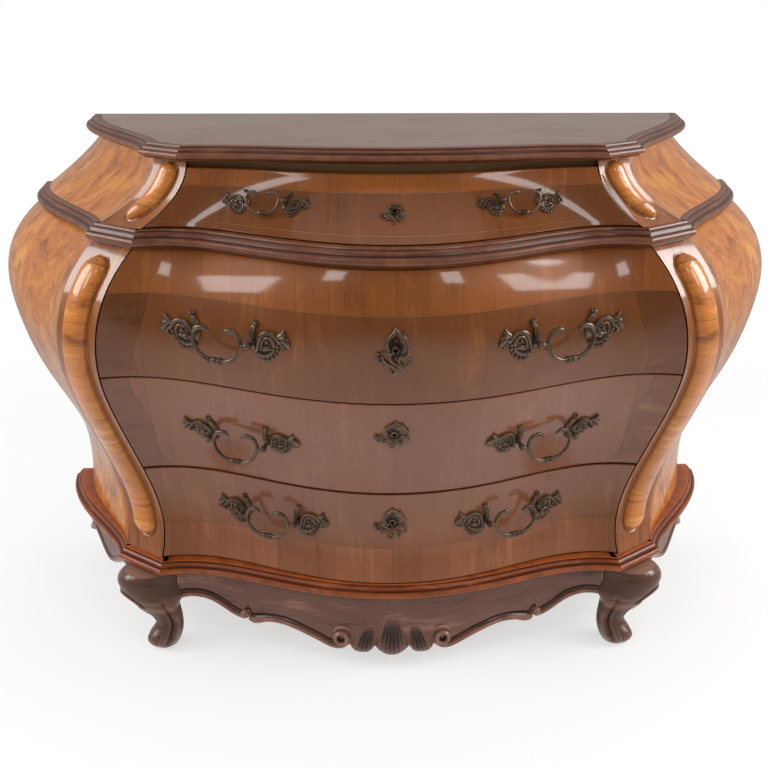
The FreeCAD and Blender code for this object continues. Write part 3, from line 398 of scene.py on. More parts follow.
def drawer_front(number, low, high, arris, hole_depth):
    """Bowed front: columns across it, each a loop up the veneered face and down the back. The face
    keeps to the serpentine surface, falls away in an arc at its four edges and is pierced blind at
    the keyhole."""
    key = KEY_HEIGHTS[number]
    edge = edge_steps(arris)
    half_low = body_plan(np.array([low, high]))[:, 1].mean() - REVEAL
    column = spaced(-half_low, half_low, 7.0, (0.0, 7.0, 0.55))
    share = np.unique(np.r_[column, edge - half_low, half_low - edge]) / half_low
    row = spaced(low, high, 6.0, (key - 3.0, 9.0, 0.6))
    level = (np.unique(np.r_[row, low + edge, high - edge]) - low) / (high - low)
    z = low + (sagged(number, high, share[:, None] * half_low) - low) * level[None, :]
    half = body_plan(z)[..., 1] - REVEAL
    x = share[:, None] * half
    from_end = half * (1.0 - np.abs(share[:, None]))
    from_low, from_top = z - low, z[:, -1:] - z
    fall = rounded(from_end, arris) + rounded(np.minimum(from_low, from_top), arris)
    reach = front_reach(x, z, REVEAL) - fall - hole_depth * in_keyhole(x, z, key)
    face = at(x, reach, z)
    back_z = z[:, [-1, len(level) // 2, 0]]
    back_half = body_plan(back_z)[..., 1] - REVEAL
    back_x = share[:, None] * back_half
    back = at(back_x, front_reach(back_x, back_z, REVEAL) - FRONT_THICKNESS, back_z)
    along = np.concatenate((x, back_x, x[:, :1]), 1)
    back_up = back_z[:, :1] - low + [[FRONT_THICKNESS, 80.0, 160.0]]
    up = np.concatenate((z - low, back_up, np.full((len(z), 1), 180.0)), 1)
    inset = np.concatenate((layered(from_end, from_low, from_top), np.full(back.shape, -1.0)), 1)
    return woven(np.concatenate((face, back), 1), layered(along, up) * MM, inset=inset)


# ---------------------------------------------------------------- sides and corners
# Seam between side and post, place of the bolster across the cant, and where the skins' hidden
# faces start in their UV
SEAM = 0.1
BACK_RUN = 700.0
CANT_MIDDLE = 0.49
CANT_UV = (92.0, 170.0, 260.0, 300.0)
BOLSTER_UV = (11.0, 90.0)


def side_skin(low, high, arris, seam):
    """Right side: the ogee swept up the body, drawn in at its two ends and by a seam at the corner
    post, with a parallel inner face."""
    t = np.linspace(0.0, 1.0, 49)
    z = np.r_[low, np.linspace(low + arris, high - arris, int((high - low) / 7)), high]
    plan = body_plan(z)[:, None, :]
    half, reach = side_line(plan, t[None, :])
    reach = reach - seam * (1 - t)
    inward = rounded(np.minimum(z - low, high - z), arris)[:, None]
    outer = at(half - inward, reach, z[:, None])
    inner = at(half[:, ::-1] - SIDE_THICKNESS, reach[:, ::-1], z[:, None])
    run = np.cumsum(np.r_[0.0, np.hypot(*np.diff(np.stack((half, reach)), axis=2).mean(1))])
    across = np.r_[run, run[::-1] + BACK_RUN, 2 * BACK_RUN]
    return woven(np.concatenate((outer, inner), 1), layered(across[None, :], z[:, None]) * MM)


def cant_frame(z, place):
    """Points of the right cant at a share of its width, and its directions across and outwards."""
    plan = body_plan(z)
    half, reach = cant_outer(plan)
    outer, inner = at(half, reach, z), at(plan[:, 1], plan[:, 2], z)
    across = unit(outer - inner)
    middle = inner + (outer - inner) * place
    up = unit(np.gradient(middle, np.asarray(z, float), axis=0))
    out = unit(np.cross(across, up))
    return middle, across, out * np.where(out[:, 1:2] < 0, 1.0, -1.0)


def bolster_half(z, low, high, half):
    """Half width of a bolster at heights z: straight sides closed by two round ends."""
    end = np.clip(half - np.minimum(z - low, high - z), 0.0, half)
    return np.sqrt(np.maximum(half * half - end * end, 0.0))


def post_skin(low, high, pad, groove, groove_depth):
    """Right corner post: the cant carried up the body between the side and the drawers, with a
    groove sunk round the bolster."""
    pad_low, pad_high, pad_half = pad
    z = spaced(low, high, 7.0, (pad_low, 9.0, 1.0), (pad_high, 9.0, 1.0))
    place = np.linspace(0.0, 1.0, 61)
    plan = body_plan(z)
    half, reach = cant_outer(plan)
    middle, across, out = cant_frame(z, CANT_MIDDLE)
    outer, inner = at(half, reach, z)[:, None], at(plan[:, 1], plan[:, 2], z)[:, None]
    face = outer + (inner - outer) * place[None, :, None]
    offset = np.einsum("ijk,ik->ij", face - middle[:, None], across)
    core = np.clip(z, pad_low + pad_half, pad_high - pad_half)
    gap = np.abs(np.hypot(offset, (z - core)[:, None]) - pad_half - groove)
    face = face - out[:, None] * (groove_depth * hump(gap, 0.0, groove))[..., None]
    back = np.stack((at(plan[:, 1], plan[:, 2] - POST_DEPTH, z), at(half - SIDE_THICKNESS, reach, z)), 1)
    u = np.r_[place * CANT_UV[0], CANT_UV[1:]]
    return woven(np.concatenate((face, back), 1), layered(u[None, :], z[:, None]) * MM)


def bolster_skin(low, high, half_width, rise):
    """Right bolster: a long pad on the cant, its section a flattened arch that narrows and sinks
    along a circle at both ends."""
    end = half_width * (1.0 - np.cos(np.linspace(0.0, np.pi / 2, 15)))
    z = np.r_[low + end, np.linspace(low + half_width, high - half_width, 64)[1:-1], high - end[::-1]]
    middle, across, out = cant_frame(z, CANT_MIDDLE)
    half = np.maximum(bolster_half(z, low, high, half_width), 0.6)
    share = half / half_width
    angle = np.linspace(0.0, np.pi, 33)
    wide, tall = np.cos(angle), np.sin(angle) ** 0.62
    lift = 0.2 + rise * (share[:, None] ** 0.8) * tall[None, :]
    grid = (
        middle[:, None] + across[:, None] * (half[:, None] * wide[None, :])[..., None]
        + out[:, None] * lift[..., None]
    )
    first, last = BOLSTER_UV
    u = np.r_[np.cumsum(np.r_[0.0, np.hypot(np.diff(wide) * half_width, np.diff(tall) * rise)]), last]
    return woven(grid, layered(u[None, :] + first, z[:, None]) * MM)


# ---------------------------------------------------------------- rings of moulding
def ring_section(height, overhang, inset):
    """Section of a ring in (outwards, up): back, flat top, fillet, hollow, fat rounded nose, foot."""
    t = np.linspace(0.0, 1.0, 7)[:, None]
    nose_top, nose_low, arris, throat = 0.62 * height, 0.16 * height, 0.16 * overhang, 0.52 * overhang

    def curve(*poles):
        degree = len(poles) - 1
        weights = {2: (1, 2, 1), 4: (1, 4, 6, 4, 1)}[degree]
        return sum(
            weight * t ** i * (1 - t) ** (degree - i) * np.array(pole)
            for i, (pole, weight) in enumerate(zip(poles, weights))
        )

    ease_in = np.array([(arris - 1.2, height), (arris - 0.35, height - 0.25), (arris, height - 0.9)])
    nose = curve((throat + 1.0, nose_top), (overhang + 0.5, nose_top),
                 (overhang + 1.6, (nose_top + nose_low) / 2), (overhang + 0.5, nose_low),
                 (throat + 1.0, nose_low))
    hollow = curve((arris + 0.5, 0.9 * height), (throat, 0.84 * height), (throat + 1.0, nose_top))
    foot = np.array([(0.28 * overhang + 1.0, 0.5), (0.28 * overhang, 0.0)])
    back = np.array([(-inset, 0.0), (-inset, height)])
    return np.concatenate((back, ease_in, hollow, nose[1:], foot))


# A mortise's walls lean by this much, so that its corners stay sharp
WALL = 0.05


def ring_runs(plan, count, half_mortise=0.0):
    """Points and outward directions of a ring's front, right cant and right side, mitred. Points
    are added to the front on both sides of the ends of a mortise."""
    even = np.linspace(0.0, 1.0, count)

    def run(poles, near=()):
        p = np.array(poles, float)
        fine = np.linspace(1.0, 0.0, 1201)
        t = np.unique(np.r_[even, np.interp(near, cubic(p[:, 0], fine), fine)]) if near else even
        slope = (p[1] - p[0]) * 3 * (1 - t[:, None]) ** 2 + (p[2] - p[1]) * 6 * (t * (1 - t))[:, None]
        slope = slope + (p[3] - p[2]) * 3 * t[:, None] ** 2
        return np.stack((cubic(p[:, 0], t), cubic(p[:, 1], t)), 1), unit(slope)

    half, reach = cant_outer(plan)
    back, corner, corner_reach, middle = plan[:4]
    poles = [(x * corner, corner_reach + y * (middle - corner_reach)) for x, y in BOW_POLES]
    near = (half_mortise - WALL, half_mortise + WALL) if half_mortise else ()
    front, tangent = run(poles, near)
    front_out = np.stack((tangent[:, 1], -tangent[:, 0]), 1)
    side, tangent = run([(half + x * (back - half), y * reach) for x, y in OGEE_POLES])
    side_out = np.stack((-tangent[:, 1], tangent[:, 0]), 1)
    cant = unit(np.array((corner_reach - reach, half - corner)))

    def mitre(a, b):
        return (a + b) / (1.0 + a @ b)

    front_corner, side_corner = mitre(front_out[0], cant), mitre(cant, side_out[0])
    front_out[0], front_out[-1] = front_corner, (0.0, 1.0)
    side_out[0], side_out[-1] = side_corner, (1.0 / side_out[-1, 0], 0.0)
    whole = [np.concatenate((part, part[-2::-1] * (-1.0, 1.0))) for part in (front, front_out)]
    share = np.linspace(0.0, 1.0, 5)[:, None]
    cants = np.array((half, reach)) * (1 - share) + np.array((corner, corner_reach)) * share
    return whole, (cants, side_corner * (1 - share) + front_corner * share), (side, side_out)


MITRE_GAP = 0.15


def moulding(run, section, low, mortise=None):
    """Length of moulding: the section carried along a run, its ends drawn in a hair at the mitre.
    A mortise (half length, front wall, rear wall, depth) is sunk into its underside."""
    points, outward = run
    if mortise:
        half, near, far, deep = mortise
        floor = [(-near, 0.0), (-near - WALL, 0.0), (WALL - far, 0.0), (-far, 0.0)]
        section = np.concatenate((section, floor))
    points = points.copy()
    points[0] += unit(points[1] - points[0]) * MITRE_GAP
    points[-1] += unit(points[-2] - points[-1]) * MITRE_GAP
    spot = points[:, None] + outward[:, None] * section[None, :, :1]
    up = np.broadcast_to(section[:, 1], spot.shape[:2]).copy()
    if mortise:
        up[np.abs(points[:, 0]) < half, -3:-1] = deep
    grid = at(spot[..., 0], spot[..., 1], low + up)
    along = run_of(points) + points[0, 0]
    around = run_of(np.r_[section, section[:1]])
    return woven(grid, layered(along[:, None], around[None, :]) * MM)


def ring(plan, low, height, overhang, inset, mortise):
    """The five mitred lengths of a ring, the front one with or without a mortise."""
    section = ring_section(height, overhang, inset)
    runs = ring_runs(plan, 41, mortise[0] if mortise else 0.0)
    front, cant, side = (moulding(run, section, low, cut) for run, cut in zip(runs, (mortise, None, None)))
    return [front, cant, mirrored(cant), side, mirrored(side)]


# ---------------------------------------------------------------- aprons and legs
APRON_PLAN = BASE_RING - (0.0, 0.0, 3.0, 3.0, 0.0)
APRON_HALF, APRON_THICKNESS = 366.0, 22.0
# Lower edge of the front apron, from the middle out: (distances, heights) of lobe, lobe and waves
EDGE_WAVES = (
    smooth((0.0, 14.0, 29.0), (23.5, 27.0, 41.0)),
    smooth((29.0, 34.0, 50.0, 64.0, 70.0), (41.0, 33.0, 27.5, 31.5, 40.0)),
    smooth((70.0, 78.0, 92.0, 103.0, 122.0, 152.0, 193.0, 227.0, 240.0, 245.0),
           (40.0, 32.5, 28.5, 30.0, 37.5, 49.0, 57.0, 51.0, 52.0, 57.5)),
    smooth((245.0, 250.0, 258.0, 274.0, 303.0, 338.0, 366.0), (57.5, 52.6, 52.4, 58.5, 75.5, 84.5, 80.0)),
)
EDGE_BREAKS = (0.0, 29.0, 70.0, 245.0, 366.0)


def apron_edge(x):
    """Height of the front apron's lower edge: shell lobes, scroll and two long waves."""
    x = np.abs(x)
    spans = zip(EDGE_WAVES, EDGE_BREAKS, EDGE_BREAKS[1:])
    parts = [wave(np.clip(x, low, high)) for wave, low, high in spans]
    return np.select([x <= limit for limit in EDGE_BREAKS[1:-1]], parts[:-1], parts[-1])


def apron_face(x):
    """Reach of the front apron's flat face."""
    return APRON_PLAN[2] + (APRON_PLAN[3] - APRON_PLAN[2]) * bow(np.clip(x / APRON_PLAN[1], -1, 1))


def edge_bead(depth, width, lift, groove):
    """Rise of a face beside its lower edge: a round bead, then a hollow that fades out."""
    bead = lift * np.sqrt(np.clip(1.0 - ((depth - width / 2) / (width / 2)) ** 2, 0.0, 1.0))
    under = -(width / 2) * (1.0 - ease(depth, 0.0, 0.35 * width))
    hollow = -groove * hump(depth, 1.45 * width, 0.42 * width)
    soft = -0.35 * groove * hump(depth, 2.3 * width, width) * (depth > width)
    return bead + under + hollow + soft


APRON_BACK_UV = (APRON_THICKNESS, 130.0, 280.0)


def apron_board(face, back_x, back_reach, z, along):
    """Closed skin of an apron: its face, then the top and lower edges of its back."""
    back_z = z[:, [-1, 0]]
    back = at(back_x[:, None], back_reach[:, None], back_z)
    under, behind, below = APRON_BACK_UV
    up = np.concatenate((z, back_z[:, :1] + [[under, behind]], z[:, :1] + below), 1)
    return woven(np.concatenate((face, back), 1), layered(along[:, None], up) * MM)


def front_apron():
    """Shaped board under the ring, bowed like it: columns from its wavy lower edge to its top, with
    a bead along the edge and a hollow above the bead."""
    fine = np.r_[spaced(0.0, 112.0, 1.6), spaced(112.0, APRON_HALF, 3.2, (245.0, 9.0, 0.9))]
    half = np.unique(np.round(np.r_[fine, EDGE_BREAKS], 3))
    x = np.r_[-half[:0:-1], half]
    t = np.r_[np.linspace(0.0, 0.42, 34), np.linspace(0.42, 1.0, 16)[1:]]
    low = apron_edge(x)[:, None]
    z = low + (LEG_TOP - low) * t[None, :]
    slope = np.gradient(apron_edge(x), x)[:, None]
    depth = (z - low) / np.sqrt(1.0 + np.clip(slope, -0.75, 0.75) ** 2)
    plain_lobe = ease(np.abs(x)[:, None], 66.0, 78.0)
    relief = edge_bead(depth, 9.0, 2.8, 3.6) * plain_lobe
    face = at(x[:, None], apron_face(x)[:, None] + relief, z)
    return apron_board(face, x, apron_face(x) - APRON_THICKNESS, z, x)


def side_apron():
    """Right side apron: a shaped strip between the legs, on the ogee of the base."""
    reach_low, reach_high = 104.0, 324.0
    plan = BASE_RING - (3.0, 0.0, 0.0, 0.0, 0.0)
    t = np.linspace(0.0, 1.0, 400)
    half, reach = side_line(plan, t)
    along = np.linspace(reach_low, reach_high, 90)
    x = np.interp(along, reach[::-1], half[::-1]) - 3.0
    wave = smooth((0.0, 0.25, 0.5, 0.75, 1.0), (-4.0, 12.0, -14.0, 12.0, -4.0))
    low = (76.0 + wave((along - reach_low) / (reach_high - reach_low)))[:, None]
    level = np.linspace(0.0, 1.0, 30)[None, :] ** 1.3
    z = low + (LEG_TOP - low) * level
    depth = (z - low) / np.sqrt(1.0 + np.gradient(low[:, 0], along)[:, None] ** 2)
    face = at(x[:, None] + edge_bead(depth, 8.0, 2.2, 1.6), along[:, None], z)
    return apron_board(face, x - APRON_THICKNESS, along, z, along)


LEG_LEVELS = (0.0, 0.12, 0.34, 0.55, 0.74, 1.0)
FRONT_LEG = smooth(LEG_LEVELS, ((391, 402, 18.5), (391, 402, 28), (383, 396, 23.5), (401, 385, 34),
                                (419, 374, 46), (419, 374, 38.6)))
REAR_LEG = smooth(LEG_LEVELS, ((538, 54, 18.5), (538, 54, 26.6), (532, 54, 23.5), (538, 54, 32.2),
                               (544, 54, 43.7), (544, 54, 38.6)))


def turned_from(turn, angle):
    """The turn as an angle from -pi to pi, counted from a direction."""
    return np.angle(np.exp(1j * (turn - angle)))


LEG_ROUND = 38.0


def leg_skin(curve, carved):
    """Right leg: rings up a cabriole curve. A carved one spreads to meet the apron, and carries a
    scroll on its knee, a bead down its inner edge and a foot of lobes turned outwards."""
    level = np.r_[0.0, 0.012, 0.035, np.linspace(0.07, 1.0, 104 if carved else 50)]
    angle = np.linspace(-np.pi, np.pi, 145 if carved else 65)[:-1]
    station = curve(level)
    centre_x, centre_reach, radius = (station[:, i:i + 1] for i in range(3))
    z = level[:, None] * LEG_TOP
    turn = angle[None, :]
    foot = np.where(level < 0.035, level / 0.035, 1.0)[:, None]
    grow = radius * (0.86 + 0.14 * np.sqrt(foot))
    if carved:
        outward = turned_from(turn, 0.62)
        toes = hump(level[:, None], 0.13, 0.10)
        spread = np.cos(np.clip(outward, -1.35, 1.35) * (np.pi / 2.7))
        lobes = np.abs(np.cos(2.6 * outward)) ** 0.55 - 0.72
        grow = grow + toes * (2.4 * spread + 4.2 * lobes * ease(-np.abs(outward), -1.6, -1.1))
        inner = turned_from(turn, 2.35 - 0.5 * (1 - level[:, None]))
        down = ease(level[:, None], 0.05, 0.12) * (1.0 - ease(level[:, None], 0.60, 0.72))
        grow = grow + down * (3.0 * hump(inner, 0.34, 0.20) - 2.6 * hump(inner, -0.06, 0.16))
        grow = grow + 15.5 * hump(turned_from(turn, 2.86), 0.0, 0.34) * ease(z, 66.0, 92.0)
        arc = 44.0 * turned_from(turn, 0.30)
        east, north = arc - 6.0, z - 74.0
        rho, psi = np.hypot(east, north), np.arctan2(north, -east)
        rim = 9.0 + 17.0 * ((psi + np.pi) / (2 * np.pi))
        inside = 1.0 - ease(rho, 26.0, 30.0)
        scroll = 2.8 * hump(rho, rim, 3.4) - 1.8 * hump(rho, rim - 6.5, 3.0) + 2.4 * hump(rho, 0.0, 5.0)
        leaf = 2.4 * inside - 2.0 * hump(rho, 31.5, 2.6) * (arc < 12.0)
        knee = ease(z, 40.0, 56.0) * (1.0 - ease(z, 96.0, 108.0)) * (0.3 + 0.7 * hump(arc, 2.0, 40.0))
        grow = grow + (scroll * inside + leaf) * knee
    grid = at(centre_x + grow * np.cos(turn), centre_reach + grow * np.sin(turn), z)
    return woven(grid, layered(np.r_[angle, np.pi][None, :] * LEG_ROUND, z) * MM)


# ---------------------------------------------------------------- carving and casting
FORWARD, UPWARD = np.array((0.0, -1.0, 0.0)), np.array((0.0, 0.0, 1.0))
SHELL_SUNK = 9.0


def shell_lobe(left, right, top, ribs, lift, lean):
    """Fan-shaped lobe on the apron: ribs spread from its top to its rounded lower edge, swell
    towards it and roll under."""
    s = np.linspace(-1.0, 1.0, 12 * ribs + 1)[:, None]
    t = np.linspace(0.0, 1.0, 34)[None, :]
    x_low = (left + right) / 2 + s * (right - left) / 2
    x_top = (left + right) / 2 + lean + s * (right - left) * 0.16
    low = apron_edge(np.clip(x_low, -70.0, 70.0)) - 0.5
    x = x_top + (x_low - x_top) * t ** 0.85
    z = top + (low - top) * t
    dome = lift * ease(t, 0.0, 0.78) * np.sqrt(np.clip(1.0 - np.abs(s) ** 5, 0.0, 1.0))
    rib = np.abs(np.cos(np.pi * ribs * (s + 1) / 2)) ** 0.7 * 2.2 * ease(t, 0.02, 0.55)
    under = lift * 1.5 * (1.0 - np.sqrt(np.clip(1.0 - np.clip((t - 0.80) / 0.20, 0, 1) ** 2, 0, 1)))
    height = 0.15 + dome - rib * 0.9 - under + 1.0 * ease(t, 0.0, 0.2) * (1 - t)
    face = at(x, apron_face(x) + height, z)
    back_x, back_z = x[:, [-1, 0]], z[:, [-1, 0]]
    back = at(back_x, apron_face(back_x) - SHELL_SUNK, back_z)
    return woven(np.concatenate((face, back), 1))


def lathe(profile, place, out, up, turns=28):
    """Turned form: a profile of (radius, rise) pairs spun about an axis standing out of a surface."""
    profile = np.asarray(profile, float)
    angle = circle(turns)
    across = unit(np.cross(up, out))
    round_ = np.cos(angle)[:, None] * across + np.sin(angle)[:, None] * np.cross(out, across)
    grid = np.asarray(place) + profile[:, :1, None] * round_[None] + (profile[:, 1:] * out)[:, None, :]
    return woven(grid)


def sweep(stations, count=22, sides=10, flat=0.75, lay=None):
    """Tapering rod through stations of (u, v, h, half width): a ridged section carried along a
    smooth path, thinner across the surface than along it, with rounded ends. lay carries the
    points (u across, v up, h out of the surface) into the chest's frame."""
    stations = np.asarray(stations, float)
    gaps = np.linalg.norm(np.diff(stations[:, :3], axis=0), axis=1)
    level = np.r_[0.0, np.cumsum(gaps)] / gaps.sum()
    curve = smooth(level, stations)
    t = np.r_[0.0, 0.006, 0.02, np.linspace(0.045, 0.955, count), 0.98, 0.994, 1.0]
    found = curve(t)
    path, wide = found[:, :3], np.maximum(found[:, 3], 0.25)
    end = np.minimum(t, 1.0 - t) * gaps.sum()
    wide = wide * np.sqrt(np.clip(1.0 - (1.0 - np.minimum(end / wide, 1.0)) ** 2, 0.02, 1.0))
    tangent = unit(np.gradient(path, axis=0))
    across = unit(np.cross(tangent, (0.0, 0.0, 1.0)))
    normal = np.cross(across, tangent)
    angle = circle(sides)
    high = np.where(np.sin(angle) > 0, np.abs(np.sin(angle)) ** 0.8, -0.8 * np.abs(np.sin(angle)))
    grid = (
        path[:, None] + (wide[:, None] * np.cos(angle))[..., None] * across[:, None]
        + (wide[:, None] * flat * high)[..., None] * normal[:, None]
    )
    # The rod's crest, where the bronze is painted lighter: rubbing and a painted highlight.
    ridge = np.broadcast_to(np.clip(high, 0.0, 1.0)[None, :] ** 2, grid.shape[:2])
    return woven(lay(grid) if lay else grid, ridge=ridge)


def scroll_carvings():
    """Right-hand carvings of the apron: a hollow-eyed scroll, a round knob and a leaf tip."""
    def turned_at(x, z, profile):
        place = at(x, apron_face(np.float64(x)), z)
        slope = float(apron_face(np.float64(x + 1.0)) - apron_face(np.float64(x - 1.0))) / 2
        out = unit(np.array((-slope, -1.0, 0.0)))
        return lathe(profile, place, out, UPWARD)

    def lay(points):
        return at(points[..., 0], apron_face(points[..., 0]) + points[..., 2], points[..., 1])

    eye = [(14.5, -8.0), (14.5, 0.3), (13.6, 3.4), (11.6, 5.6), (9.2, 6.0), (7.2, 4.9), (6.0, 3.0),
           (5.4, 0.2), (4.4, -1.2), (0.6, -1.6)]
    knob = [(8.0, -7.0), (8.0, 0.6), (7.4, 3.0), (5.9, 4.9), (3.6, 6.1), (1.4, 6.6), (0.3, 6.7)]
    leaf = [(244.5, 54.0, -1.0, 1.6), (236.0, 55.5, 1.6, 5.2), (222.0, 58.0, 2.0, 4.4),
            (206.0, 63.0, 1.0, 2.2), (196.0, 66.5, -0.6, 0.8)]
    collar = [(96.0, 60.0, 0.4, 1.2), (90.0, 71.0, 1.6, 2.6), (78.0, 72.5, 1.4, 2.2),
              (69.0, 66.0, -0.4, 0.9)]
    rods = [sweep(stations, lay=lay) for stations in (leaf, collar)]
    return [turned_at(84.5, 50.0, eye), turned_at(250.5, 62.5, knob)] + rods


POST_REACH, PIVOT_HALF = 23.0, 53.5
# Each drawer's right-hand handle: how far right, how high, scale, lean of the bail at rest
HANDLES = {1: (186.0, 778.0, 0.62, radians(12.8)), 2: (248.0, 592.0, 1.0, 0.0),
           3: (237.0, 414.0, 0.94, 0.0), 4: (196.0, 252.0, 0.92, 0.0)}


def facing(direction, way):
    """The direction, turned round if it points against a way."""
    return direction if direction @ way > 0 else -direction


def surface_frame(x, z):
    """Point on the drawer fronts, with directions across, up and out."""
    step = 0.5
    around = np.array((x + step, x - step, x, x)), np.array((z, z, z + step, z - step))
    right, left, over, under = front_reach(*around)
    across = unit(np.array((1.0, left - right, 0.0)))
    out = facing(unit(np.cross(across, unit(np.array((0.0, under - over, 1.0))))), FORWARD)
    up = facing(np.cross(out, across), UPWARD)
    return at(x, front_reach(np.float64(x), np.float64(z)), z), across, up, out


def laid_on_front(frame, side, scale):
    """Carries (u across, v up, h out) at full size on to the drawer front round a point of it."""
    point, across, up, out = frame

    def lay(points):
        spot = point + (points[..., :1] * side * across + points[..., 1:2] * up) * scale
        x, z = spot[..., 0], spot[..., 2]
        return at(x, front_reach(x, z), z) + points[..., 2:3] * scale * out

    return lay


# Rods of a plate, as stations (across, up, out, half width) from root to tip
PLATE = {
    "prong": ((-1, -12, 1.0, 3.0), (-4.5, -4, 1.8, 4.2), (-5, 7, 2.2, 4.0), (-3, 18, 2.2, 3.4),
              (3, 26, 2.2, 2.8)),
    "prong_rib": ((0, -9, 2.8, 1.2), (-2.5, 0, 4.2, 1.7), (-2.6, 9, 4.4, 1.7), (0, 18, 4.0, 1.5),
                  (4, 25, 3.2, 1.2)),
    "arch": ((2, -15, 1.0, 2.0), (5, -2, 2.0, 3.0), (10, 9, 2.6, 3.4), (20, 16, 3.0, 3.4),
             (32, 15, 2.8, 3.2), (40, 8, 2.4, 3.0), (43.5, 0, 1.8, 2.6)),
    "inner_arch": ((8, -14, 0.8, 1.4), (11, -3, 2.0, 2.0), (15.5, 6, 3.0, 2.1), (23, 9.5, 3.4, 2.1),
                   (30.5, 7, 3.2, 2.1), (33.5, 0.5, 2.6, 2.1), (30.5, -5, 2.2, 2.6)),
    "horn": ((38, 12, 1.6, 3.0), (45, 14, 2.2, 4.2), (49.5, 19, 2.2, 3.2), (50, 25, 1.8, 1.4)),
    "wing": ((42, 10, 1.6, 3.0), (50, 10, 2.2, 5.4), (55, 3, 2.4, 4.6), (57.5, -4, 1.6, 1.6)),
    "wing_vein": ((41, 5, 1.6, 2.0), (46.5, 2, 3.4, 2.6), (49.5, -3, 2.8, 2.0), (52, -8, 1.4, 0.9)),
    "stem": ((0, -13, 0.8, 2.8), (8, -18.5, 1.8, 3.4), (18, -19, 2.2, 3.2), (27, -14, 2.2, 2.8),
             (33, -7, 1.8, 2.0)),
    "leaf": ((12, -12, 1.0, 2.0), (19, -8, 3.0, 3.6), (26, -7, 2.6, 2.8), (31, -9, 1.6, 1.0)),
}
# Petals of a plate: root and tip (across, up), half width at the tip
PETALS = ((3, -15, -2, -21, 2.7), (8, -19, 6, -27, 3.2), (14, -20, 14, -29.5, 3.4),
          (20.5, -19, 22.5, -28.5, 3.4), (26.5, -15.5, 29.5, -24, 3.1), (31.5, -11, 35.5, -18, 2.8),
          (35, -6, 40, -10.5, 2.4))
# Pearls of a plate: across, up, radius
PEARLS = ((39.5, -2, 2.6), (46, -6.5, 2.3), (13, -5.5, 2.2), (21.5, 2.0, 2.4), (4.5, 29.0, 3.5),
          (-0.5, 30.5, 2.2))


def bead(u, v, radius, rise, lay):
    """Pearl standing on the surface: a half ball of rings with a short neck below it."""
    angle = np.linspace(0.0, 0.47 * np.pi, 5)
    profile = np.r_[[[radius, -0.6]], np.stack((np.cos(angle), rise + np.sin(angle)), 1) * radius]
    ring, turn = profile[:, :1], circle(10)
    grid = layered(u + ring * np.cos(turn), v + ring * np.sin(turn), profile[:, 1:])
    # Rises to the pearl's top, where the bronze is painted lighter: rubbing and a painted highlight.
    shine = np.broadcast_to(np.linspace(0.0, 1.0, len(profile))[:, None], grid.shape[:2])
    return woven(lay(grid), ridge=shine)


def handle_axis(x_middle, z, scale):
    """Pivot points, surface frames and axis of a handle."""
    _, across, _, _ = surface_frame(x_middle, z)
    ends = []
    for side in (-1.0, 1.0):
        frame = surface_frame(x_middle + side * PIVOT_HALF * scale * across[0], z)
        ends.append((frame[0] + frame[3] * (POST_REACH * scale), frame, side))
    return ends, unit(ends[1][0] - ends[0][0])


PLATE_POST = ((6.4, -1.0), (6.4, 1.6), (5.0, 2.8), (4.0, 4.2), (3.4, 9.0), (3.3, 14.0), (4.2, 16.6),
              (5.0, 18.4), (5.4, 21.0), (5.2, 24.0), (4.4, 26.2), (2.6, 27.7), (0.4, 28.2))


def handle_plates(number):
    """Castings of a right-hand handle: on each side of the bail a prong, a doubled arch that curls
    into an eye, a horned leaf at its outer end, petals fanned below, and a post for the pin."""
    x_middle, z, scale, _ = HANDLES[number]
    skins = []
    for _, frame, side in handle_axis(x_middle, z, scale)[0]:
        lay = laid_on_front(frame, side, scale)
        skins += [sweep(stations, 13, 8, lay=lay) for stations in PLATE.values()]
        for root_u, root_v, tip_u, tip_v, wide in PETALS:
            root = (root_u, root_v, 1.0, 0.5 * wide)
            middle = ((root_u + tip_u) / 2, (root_v + tip_v) / 2, 2.2, 0.86 * wide)
            skins.append(sweep((root, middle, (tip_u, tip_v, 1.4, wide)), 6, 8, lay=lay))
        skins += [bead(u, v, radius, 0.9, lay) for u, v, radius in PEARLS]
        skins.append(woven(lay(ground_patch())))
        skins.append(lathe(np.array(PLATE_POST) * scale, frame[0], frame[3], frame[2], 16))
    return skins


def ground_patch():
    """Thin ground that ties a plate's ribs together: rings of an oval shrinking to its middle."""
    turn = circle(20)
    size = np.array((1.0, 1.0, 0.96, 0.5, 0.04))[:, None]
    height = np.array((-1.0, 0.8, 1.1, 1.3, 1.4))[:, None]
    u = 16.0 + size * 17.0 * np.cos(turn) - size * 4.0 * np.sin(turn)
    v = -9.0 + size * 9.5 * np.sin(turn) + size * 2.0 * np.cos(turn)
    return layered(u, v, height)


BAIL_LEVEL = -30.0
# Collars of a bail's knop: place along its bottom, radius
COLLARS = ((-9.0, 4.9), (-5.5, 5.9), (-2.2, 4.7), (14.0, 4.6))
COLLAR_THICKNESS, PIN_RADIUS = 1.5, 2.4


